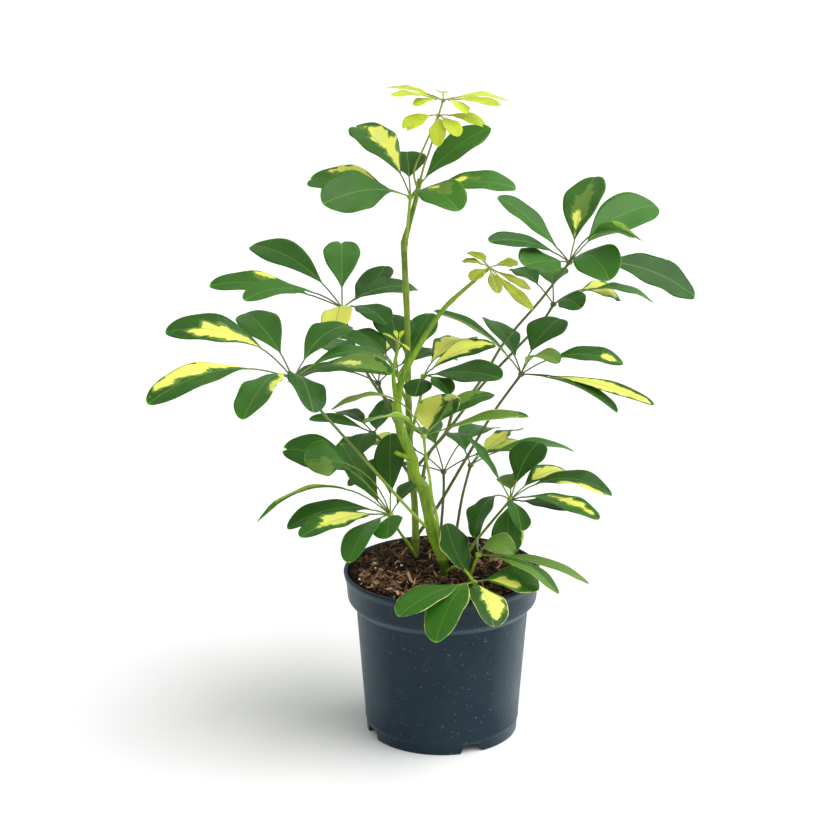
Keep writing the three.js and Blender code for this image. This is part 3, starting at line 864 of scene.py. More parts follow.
@dataclass
class PottingSoil:
    """The compost: a dark bed with coir shreds, bark chips and perlite lying on it."""

    radius: float = 80.6
    edge_height: float = 146.2
    middle_height: float = 147.6
    bottom: float = 19.0
    bottom_radius: float = 64.0
    rings: int = 56
    sectors: int = 168
    shreds: int = 1900
    crumbs: int = 2300
    chips: int = 170
    perlite: int = 26
    seed: int = 17
    lump_height: float = 2.4
    grit_height: float = 0.7
    sink: float = 2.0
    shred_length: tuple[float, float, float] = (4.0, 17.0, 8.0)
    shred_half_width: tuple[float, float] = (0.5, 1.5)
    shred_half_height: tuple[float, float] = (0.25, 0.6)
    crumb_half: tuple[float, float] = (0.5, 1.7)
    chip_half: tuple[float, float] = (2.0, 4.6)
    perlite_half: tuple[float, float] = (0.8, 1.9)
    bed_tone: float = 0.4
    shred_tone: float = 0.42
    roughness: tuple[float, float] = (0.72, 1.2)
    front_lift_tone: float = 0.18
    spot_dark_tone: float = 0.2
    dark_spot_middle: tuple[float, float] = (-28.0, 5.0)
    dark_spot_area: float = 420.0
    stems: tuple[tuple[float, float, float], ...] = ()

    def height(self, x: float, y: float) -> float:
        """Gives the bed's height.

        Args:
            x: place to the right of the middle.
            y: place behind the middle.

        Returns:
            Height of the low mound with its lumps.
        """
        share = min(math.hypot(x, y) / self.radius, 1.0)
        mound = self.middle_height + (self.edge_height - self.middle_height) * share**3
        lumps = (math.sin(x * 0.21 + 1.3) * math.cos(y * 0.17 - 0.4)
                 + 0.6 * math.sin(x * 0.37 - y * 0.29 + 2.1))
        fine = (math.sin(x * 1.1 + y * 0.7) * math.sin(y * 0.9 - x * 0.5)
                + 0.5 * math.sin(x * 2.3 - y * 1.9))
        return (mound - self.sink + self.lump_height * lumps * (1 - 0.6 * share)
                + self.grit_height * fine)

    def bed(self) -> bpy.types.Object:
        """Makes the root ball with its lumpy top.

        Returns:
            The bed.
        """
        turns = [360 * i / self.sectors for i in range(self.sectors)]
        rings = [circle(radius, height, turns) for radius, height in (
            (self.bottom_radius, self.bottom), (self.radius - 9, 108.0),
            (self.radius - 2.5, 125.0), (self.radius - 1.2, self.edge_height - 5))]
        for number in range(self.rings, 0, -1):
            ring = circle(self.radius * number / self.rings, 0.0, turns)
            ring[:, 2] = [self.height(x, y) for x, y, _ in ring]
            rings.append(ring)
        mesh = Mesh()
        mesh.skin(rings, poles=[(0.0, 0.0, self.bottom), (0.0, 0.0, self.height(0, 0))],
                  seed=self.bed_tone)
        return mesh.piece("compost_bed", [SOIL_BED.material()])

    def place(self, rng: random.Random, margin: float) -> tuple[float, float, float]:
        """Draws a free place on the bed.

        Args:
            rng: the seeded draw.
            margin: how far from the wall it stays.

        Returns:
            A point on the bed, clear of the stems.
        """
        while True:
            r = (self.radius - margin) * math.sqrt(rng.random())
            turn = rng.uniform(0, 2 * math.pi)
            x, y = r * math.cos(turn), r * math.sin(turn)
            if all(math.hypot(x - a, y - b) > keep for a, b, keep in self.stems):
                return x, y, self.height(x, y)

    def shred(self, mesh: Mesh, rng: random.Random) -> None:
        """Adds one bent, tapered shred of coir.

        Args:
            mesh: the scraps so far.
            rng: the seeded draw.
        """
        long = rng.triangular(*self.shred_length)
        x, y, z = self.place(rng, 2.0 + long / 2)
        turn, tilt = rng.uniform(0, 2 * math.pi), math.radians(rng.gauss(0, 17))
        bend = rng.uniform(-0.3, 0.3)
        wide, thick = rng.uniform(*self.shred_half_width), rng.uniform(*self.shred_half_height)
        ahead = np.array([math.cos(turn) * math.cos(tilt), math.sin(turn) * math.cos(tilt),
                          math.sin(tilt)])
        side = np.array([-math.sin(turn), math.cos(turn), 0.0])
        up = np.cross(ahead, side)
        middle = np.array([x, y, z + 0.5 + abs(math.sin(tilt)) * long * 0.35])
        rings = []
        for u in (-0.5, -0.2, 0.2, 0.5):
            slim = 1.0 - 1.3 * abs(u) ** 2
            centre = middle + ahead * long * u + side * bend * long * (u * u - 0.1)
            rings.append(np.array([centre + side * wide * slim * a + up * thick * slim * b
                                   for a, b in ((1, 0), (0, 1), (-1, 0), (0, -1))]))
        # scraps are lighter at the front and darker in a spot left of the middle
        front_lift = self.front_lift_tone if x < 10 and y < -15 else 0.0
        spot_x, spot_y = self.dark_spot_middle
        away = ((x - spot_x) ** 2 + (y - spot_y) ** 2) / self.dark_spot_area
        darkening = self.spot_dark_tone * math.exp(-away)
        tone = min(max(rng.gauss(self.shred_tone + front_lift - darkening, 0.25), 0.0), 1.0)
        mesh.skin(rings, seed=tone)

    def lump(self, mesh: Mesh, rng: random.Random, size: tuple[float, float, float],
             rise: float, tones: tuple[float, float], detail: int) -> None:
        """Adds one broken lump, such as a chip, a crumb or a grain.

        Args:
            mesh: the scraps so far.
            rng: the seeded draw.
            size: its half lengths.
            rise: how far its middle stands above the bed.
            tones: lowest and highest tone.
            detail: how finely it is divided.
        """
        x, y, z = self.place(rng, 1.5 + size[0])
        round_points, faces = ball(detail)
        turn, tilt = rng.uniform(0, 2 * math.pi), rng.gauss(0, 0.35)
        turned = np.array([[math.cos(turn), -math.sin(turn), 0],
                           [math.sin(turn), math.cos(turn), 0], [0, 0, 1]])
        tipped = np.array([[math.cos(tilt), 0, math.sin(tilt)], [0, 1, 0],
                           [-math.sin(tilt), 0, math.cos(tilt)]])
        rough = np.array([[rng.uniform(*self.roughness)] for _ in round_points])
        shape = round_points * rough * np.array(size)
        points = shape @ tipped.T @ turned.T + np.array([x, y, z + rise])
        mesh.add(points, faces, seed=np.full(len(points), rng.uniform(*tones)))

    def build(self) -> list[bpy.types.Object]:
        """Makes the bed and what lies on it.

        Returns:
            The pieces.
        """
        rng = random.Random(self.seed)
        made = [self.bed()]
        scraps = Mesh()
        for _ in range(self.shreds):
            self.shred(scraps, rng)
        for _ in range(self.crumbs):
            half = rng.uniform(*self.crumb_half)
            self.lump(scraps, rng, (half * 1.3, half, half * 0.8), half * 0.3, (0.0, 0.75), 1)
        for _ in range(self.chips):
            half = rng.uniform(*self.chip_half)
            self.lump(scraps, rng, (half * 1.5, half * 0.8, half * 0.35), 0.8, (0.1, 0.9), 2)
        made.append(scraps.piece("coir_and_bark", [SOIL_SCRAPS.material()]))
        grains = Mesh()
        for _ in range(self.perlite):
            half = rng.uniform(*self.perlite_half)
            self.lump(grains, rng, (half, half * 0.9, half * 0.8), half * 0.6, (0.2, 1.0), 2)
        made.append(grains.piece("perlite", [SOIL_PERLITE.material()]))
        return made

    def dress(self, pieces: list[bpy.types.Object]) -> None:
        """Hides the soil's CAD part and shades the scraps flat.

        Args:
            pieces: the bed and what lies on it.
        """
        for piece in pieces:
            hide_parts("soil")
        pieces[1].data.shade_flat()


# ---------------------------------------------------------------- stems


@dataclass
class PlantStem:
    """A woody stem with swollen nodes, leaf scars and branches grown into one."""

    node_name: str
    branches: list[Route]
    finish: Finish
    slot: str
    knots: tuple[tuple[float, float], ...] = ()
    slim: float = 1.0
    voxel: float = 0.55
    ring_spacing: float = 1.2
    sides: int = 20
    scar_lip: float = 0.9
    scar_swell: float = 3.2
    clear: float = 4.2

    def rows(self, route: Route) -> np.ndarray:
        """Samples a branch and swells it at its knots.

        Args:
            route: given points and radii.

        Returns:
            x, y, z and radius for each ring.
        """
        rows = smooth_route(route, self.ring_spacing)
        rows[:, 3] *= self.slim
        for height, swell in self.knots:
            # a sheath scar: a slow swell from below that ends in a lip
            above = rows[:, 2] - height
            fade = np.where(above > 0, self.scar_lip, self.scar_swell)
            rows[:, 3] += swell * np.exp(-(above / fade) ** 2)
        along = rows[:, 2]
        rows[:, 3] *= 1 + 0.02 * np.sin(along * 0.9) * np.sin(along * 0.23 + 1)
        return rows

    def build(self) -> bpy.types.Object:
        """Sweeps the branches and grows them together.

        Returns:
            The stem.
        """
        mesh = Mesh()
        for route in self.branches:
            mesh.tube(self.rows(route), self.sides)
        stem = mesh.piece(f"{self.node_name}_grown", [self.finish.material()])
        skin = stem.modifiers.new("grow", "REMESH")
        skin.mode = "VOXEL"
        skin.voxel_size = self.voxel * METRES
        smooth = stem.modifiers.new("smooth", "SMOOTH")
        smooth.factor = 0.5
        smooth.iterations = 3
        settle(stem)
        stem.data.shade_smooth()
        return stem

    def dress(self, stem: bpy.types.Object) -> None:
        """Hides the stem's CAD part.

        Args:
            stem: the stem.
        """
        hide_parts(self.node_name)


# ---------------------------------------------------------------- leaves


@dataclass(frozen=True)
class Patch:
    """A bleached patch of a blade, given as shares of its length and of its half width.

    low and high are -1 at the left edge and 1 at the right, seen from the knob outwards.
    """

    start: float
    end: float
    low: float
    high: float
    tone: Tone = Tone.YELLOW

    def field(self, along: np.ndarray, across: np.ndarray) -> np.ndarray:
        """Measures how deep points lie in the patch.

        Args:
            along: share of the blade's length for each point.
            across: share of the half width for each point.

        Returns:
            Above 0 inside the patch, below 0 outside it.
        """
        share = (along - self.start) / (self.end - self.start)
        reach = np.sqrt(np.sin(np.pi * np.clip(share, 0, 1)))
        middle, half = (self.low + self.high) / 2, (self.high - self.low) / 2
        outside = np.maximum(np.maximum(-share, share - 1), 0) * 4
        return half * reach - np.abs(across - middle) - outside


WHOLE_YELLOW = Patch(0.0, 1.0, -1.6, 1.6)
WHOLE_MIDDLE = Patch(0.0, 1.0, -1.6, 1.6, Tone.MIDDLE)


@dataclass(frozen=True)
class Leaflet:
    """One blade of a compound leaf with its thin stalk.

    turn and rise point from the knob to the tip, in degrees; reach, width and arch are lengths;
    roll turns the blade about its length; stalk is the percent of the reach that is stalk.
    notch forks the tip, curl bends the edges up and blunt squares the tip off. green is 0 for
    the deepest green and 1 for the freshest, and is drawn where it isn't given.
    """

    turn: float
    rise: float
    reach: float
    width: float
    roll: float
    arch: float
    stalk: float
    patches: tuple[Patch, ...] = ()
    notch: float = 0.0
    curl: float = 0.0
    green: float | None = None
    blunt: float = 0.0


class Growth(Enum):
    """Ages of a leaf, which decide its stalk and blade finishes."""

    YOUNG = "young"
    FRESH = "fresh"
    OLD = "old"


# the stalk from the stem to the knob, then the thin stalks from the knob to the blades
STALK_FINISH = {Growth.YOUNG: (YOUNG_STALK, YOUNG_STALK),
                Growth.FRESH: (FRESH_STALK, LEAFLET_STALK),
                Growth.OLD: (OLD_STALK, OLD_STALK)}


@dataclass
class CompoundLeaf:
    """A hand-shaped leaf: a long stalk, a knob and leaflets spread round it."""

    node_name: str
    growth: Growth
    route: list[Point]
    leaflets: list[Leaflet]
    margin: bool = False
    freshness: float | None = None
    bark: GreenBark | None = None
    stalk_radius: float = 1.25
    ray_radius: float = 0.7
    thickness: float = 0.62
    fold: float = 0.16
    widest: float = 0.62
    bluntness: float = 0.5
    base_taper: float = 0.85
    tip_half: float = 0.35
    notch_depth: float = 0.1
    notch_from: float = 0.86
    rib_radius: float = 0.7
    halo: float = 0.16
    margin_from: float = 0.97
    knob_radius: float = 3.0
    young_knob: float = 2.0
    young_slim: float = 0.62
    foot_share: float = 1.25
    taper: float = 0.35
    foot_swell: float = 0.55
    foot_reach: float = 3.0
    top_swell: float = 0.5
    top_reach: float = 3.5
    wave_share: tuple[float, float] = (0.02, 0.045)
    wave_count: tuple[float, float] = (1.6, 2.8)
    sway_share: float = 0.018
    droop_share: float = 0.03
    clear: float = 2.6
    stations: int = 28
    columns: int = 12

    def young(self) -> bool:
        """Says if the leaf is new and thin."""
        return self.growth is Growth.YOUNG

    def blade(self, mesh: Mesh, spec: Leaflet, rng: random.Random) -> np.ndarray:
        """Adds one blade, with both faces and a shared thin rim.

        Args:
            mesh: the leaf's blades so far.
            spec: the leaflet.
            rng: the seeded draw for its waves.

        Returns:
            x, y, z and radius of the stalk and rib under it.
        """
        hub = np.array(self.route[-1], dtype=float)
        bearing, slope = math.radians(spec.turn), math.radians(spec.rise)
        chord = np.array([math.cos(slope) * math.cos(bearing),
                          math.cos(slope) * math.sin(bearing), math.sin(slope)])
        lift = np.array([0.0, 0.0, 1.0]) - chord * chord[2]
        lift /= np.linalg.norm(lift)
        stalk = spec.stalk / 100
        power = math.log(0.5) / math.log(self.widest)
        wave = spec.width * rng.uniform(*self.wave_share)
        beat, start = rng.uniform(*self.wave_count), rng.uniform(0, 6.28)
        sway = spec.reach * rng.uniform(-self.sway_share, self.sway_share)
        droop = spec.reach * rng.uniform(0.0, self.droop_share)

        def axis(share: float) -> tuple[np.ndarray, np.ndarray, np.ndarray]:
            """Gives the rib's place, direction and sideways direction at a share of the reach."""
            flat = np.cross(chord, lift)
            place = hub + chord * spec.reach * share + lift * 4 * spec.arch * share * (1 - share)
            tangent = chord * spec.reach + lift * 4 * spec.arch * (1 - 2 * share)
            tangent = tangent / np.linalg.norm(tangent)
            face = np.cross(flat, tangent)
            along = max((share - stalk) / (1 - stalk), 0.0)
            tilt = math.radians(spec.roll)
            side = flat * math.cos(tilt) + face * math.sin(tilt)
            place = place + flat * sway * math.sin(math.pi * along) - face * droop * along**4
            return place, tangent, side

        across = np.linspace(-1, 1, self.columns + 1)
        across = np.sign(across) * np.abs(across) ** 0.85
        upper, lower, blade_mm, marks, rib = [], [], [], [], []
        length = spec.reach * (1 - stalk)
        for step in range(self.stations + 1):
            along = 0.5 - 0.5 * math.cos(math.pi * step / self.stations)
            place, tangent, side = axis(stalk + (1 - stalk) * along)
            normal = np.cross(side, tangent)
            blunt = self.base_taper + (self.bluntness - spec.blunt - self.base_taper) * along
            outline = math.sin(math.pi * along**power) ** blunt if 0 < along < 1 else 0
            fork = spec.notch * spec.width * self.notch_depth
            half = max(spec.width / 2 * outline, self.tip_half + (0 if along < 0.5 else fork))
            shape = self.fold * (np.sqrt(across**2 + 0.02) - 0.14)
            ripple = wave * np.sin(2 * math.pi * beat * along + start + across) * across**2
            bowl = spec.curl * half * across**2 * along
            rise = half * shape + ripple * outline + bowl
            late = max(along - self.notch_from, 0) / (1 - self.notch_from)
            pull = 1.5 * fork * np.exp(-((across / 0.5) ** 2)) * late
            rows = (place + np.outer(half * across, side) + np.outer(rise, normal)
                    - np.outer(pull, tangent))
            thick = self.thickness * (1 - across**8) * min(1, 12 * along, 12 * (1 - along)) / 2
            upper.append(rows + np.outer(thick, normal))
            lower.append(rows - np.outer(thick, normal))
            mm = half * across
            blade_mm.append(np.stack([np.full_like(mm, along * length), mm,
                                      along * length - np.abs(mm)], axis=1))
            marks.append(self.marks(spec, np.full_like(mm, along), across))
            rib.append([*(place - normal * self.rib_radius / 2), self.rib_radius - 0.45 * along])
        greens = (spec.green, self.freshness, rng.random())
        self.join_faces(mesh, np.array(upper), np.array(lower), np.array(blade_mm),
                        np.array(marks), next(green for green in greens if green is not None))
        inner = [[*axis(stalk * s)[0], self.ray_radius * (0.8 if self.young() else 1.0)]
                 for s in np.linspace(0, 0.96, 6)]
        return np.array(inner + rib[:-4])

    def marks(self, spec: Leaflet, along: np.ndarray, across: np.ndarray) -> np.ndarray:
        """Measures the patches at a row of points.

        Args:
            spec: the leaflet.
            along: share of the blade's length for each point.
            across: share of the half width for each point.

        Returns:
            Depth in the yellow, middle and cream patches for each point.
        """
        depth = np.full((len(across), 3), -3.0)
        for patch in spec.patches:
            found = patch.field(along, across)
            depth[:, patch.tone.value] = np.maximum(depth[:, patch.tone.value], found)
            if patch.tone is Tone.YELLOW:
                middle = Tone.MIDDLE.value
                depth[:, middle] = np.maximum(depth[:, middle], found + self.halo)
        if self.margin:
            rim = (np.abs(across) - self.margin_from) * 6
            depth[:, Tone.CREAM.value] = np.maximum(depth[:, Tone.CREAM.value], rim)
        return depth

    def join_faces(self, mesh: Mesh, upper: np.ndarray, lower: np.ndarray,
                   blade_mm: np.ndarray, marks: np.ndarray, seed: float) -> None:
        """Adds the two faces of a blade, which share their rim.

        Args:
            mesh: the leaf's blades so far.
            upper: points of the upper face.
            lower: points of the underside.
            blade_mm: place along and across the blade and along its side veins.
            marks: depth in the patches.
            seed: the blade's own number.
        """
        rows, columns = upper.shape[:2]
        top = np.arange(rows * columns).reshape(rows, columns)
        inside = np.zeros((rows, columns), dtype=bool)
        inside[1:-1, 1:-1] = True
        under = top.copy()
        under[inside] = rows * columns + np.arange(inside.sum())
        points = np.vstack([upper.reshape(-1, 3), lower[inside]])
        places = np.vstack([blade_mm.reshape(-1, 3), blade_mm[inside]])
        depth = np.vstack([marks.reshape(-1, 3), marks[inside]])
        values = {"blade": places, "marks": depth, "seed": np.full(len(points), seed)}
        quads = [(r, c) for r in range(rows - 1) for c in range(columns - 1)]
        base = mesh.count
        mesh.add(points, [(top[r, c], top[r, c + 1], top[r + 1, c + 1], top[r + 1, c])
                          for r, c in quads], 0, **values)
        backs = [(under[r + 1, c], under[r + 1, c + 1], under[r, c + 1], under[r, c])
                 for r, c in quads]
        mesh.faces += [tuple(int(i) + base for i in face) for face in backs]
        mesh.slots += [1] * len(backs)

    def build(self) -> list[bpy.types.Object]:
        """Makes the blades, and the stalk with its knob and ribs.

        Returns:
            Blades and stalk.
        """
        rng = random.Random(self.node_name)
        blades, stalk = Mesh(), Mesh()
        slim = self.young_slim if self.young() else 1.0
        radius = self.stalk_radius * slim
        count = len(self.route) - 1
        route = [(*point, radius * (self.foot_share - self.taper * i / count))
                 for i, point in enumerate(self.route)]
        rows = smooth_route(route, 2.5)
        gone = np.linalg.norm(rows[:, :3] - rows[0, :3], axis=1)
        rows[:, 3] *= 1 + self.foot_swell * np.exp(-gone / self.foot_reach)
        left = np.linalg.norm(rows[:, :3] - rows[-1, :3], axis=1)
        rows[:, 3] *= 1 + self.top_swell * np.exp(-left / self.top_reach)
        stalk.tube(rows, 12)
        for spec in self.leaflets:
            stalk.tube(self.blade(blades, spec, rng), 8, 1)
        knob, faces = ball(2, self.young_knob if self.young() else self.knob_radius)
        stalk.add(knob * (1, 1, 0.8) + np.array(self.route[-1]), faces)
        skins = (YOUNG_TOP, YOUNG_UNDER) if self.young() else (LEAF_TOP, LEAF_UNDER)
        outer, inner = STALK_FINISH[self.growth]
        return [blades.piece(f"{self.node_name}_blades", [f.material() for f in skins]),
                stalk.piece(f"{self.node_name}_stalk",
                            [f.material() for f in (self.bark or outer, inner)])]

    def dress(self, pieces: list[bpy.types.Object]) -> None:
        """Hides the leaf's CAD part.

        Args:
            pieces: blades and stalk.
        """
        for piece in pieces:
            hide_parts(self.node_name)


# ---------------------------------------------------------------- the plant's own shape


MAIN_STEM = PlantStem(
    "main_stem",
    [[(2, -20, 84, 3.6), (2, -20, 142, 3.3), (1, -20, 156, 3.5), (0, -20, 164, 5.8),
      (-5, -21, 175, 4.6), (-9, -22, 189, 5.1), (-13, -24, 209, 4.6), (-17, -25, 228, 5.2),
      (-23, -26, 239, 4.4), (-26, -27, 255, 4.7), (-35, -30, 280, 4.1), (-39, -32, 305, 3.8)],
     [(-38, -32, 300, 3), (-34, -32, 325, 2.8), (-21, -30, 351, 2.5), (0, -26, 383, 2),
      (8, -24, 391, 1.9), (36, -20, 415, 1.4)],
     [(-38, -32, 300, 2.4), (-41, -32, 330, 1.7), (-37, -30, 353, 1.3)],
     [(-26, -27, 253, 2), (-33, -31, 258, 2), (-40, -34, 262, 1.9)]],
    LIME_STEM, "green_stem",
    knots=((163, 0.7), (189, 0.5), (229, 0.6), (254, 0.5), (279, 0.3), (391, 0.4)), clear=5.2)
TALL_STEM = PlantStem(
    "tall_stem",
    [[(-23, 30, 88, 3), (-23, 30, 142, 3.3), (-23, 30, 161, 3.6), (-24, 30, 198, 3.2),
      (-27, 30, 225, 3.6), (-29, 29, 289, 3.1), (-30, 27, 360, 2.8), (-31, 24, 387, 3.1),
      (-32, 19, 412, 2.8), (-32, 15, 430, 3.2), (-28, 18, 445, 2.3), (-22, 23, 467, 2.2),
      (-19, 24, 482, 2.6)]],
    OLIVE_STEM, "old_stem",
    knots=((163, 0.4), (224, 0.5), (262, 0.5), (286, 0.4), (387, 0.4), (430, 0.4)), slim=0.93)

# short names for the rows below
MIDDLE, CREAM = Tone.MIDDLE, Tone.CREAM

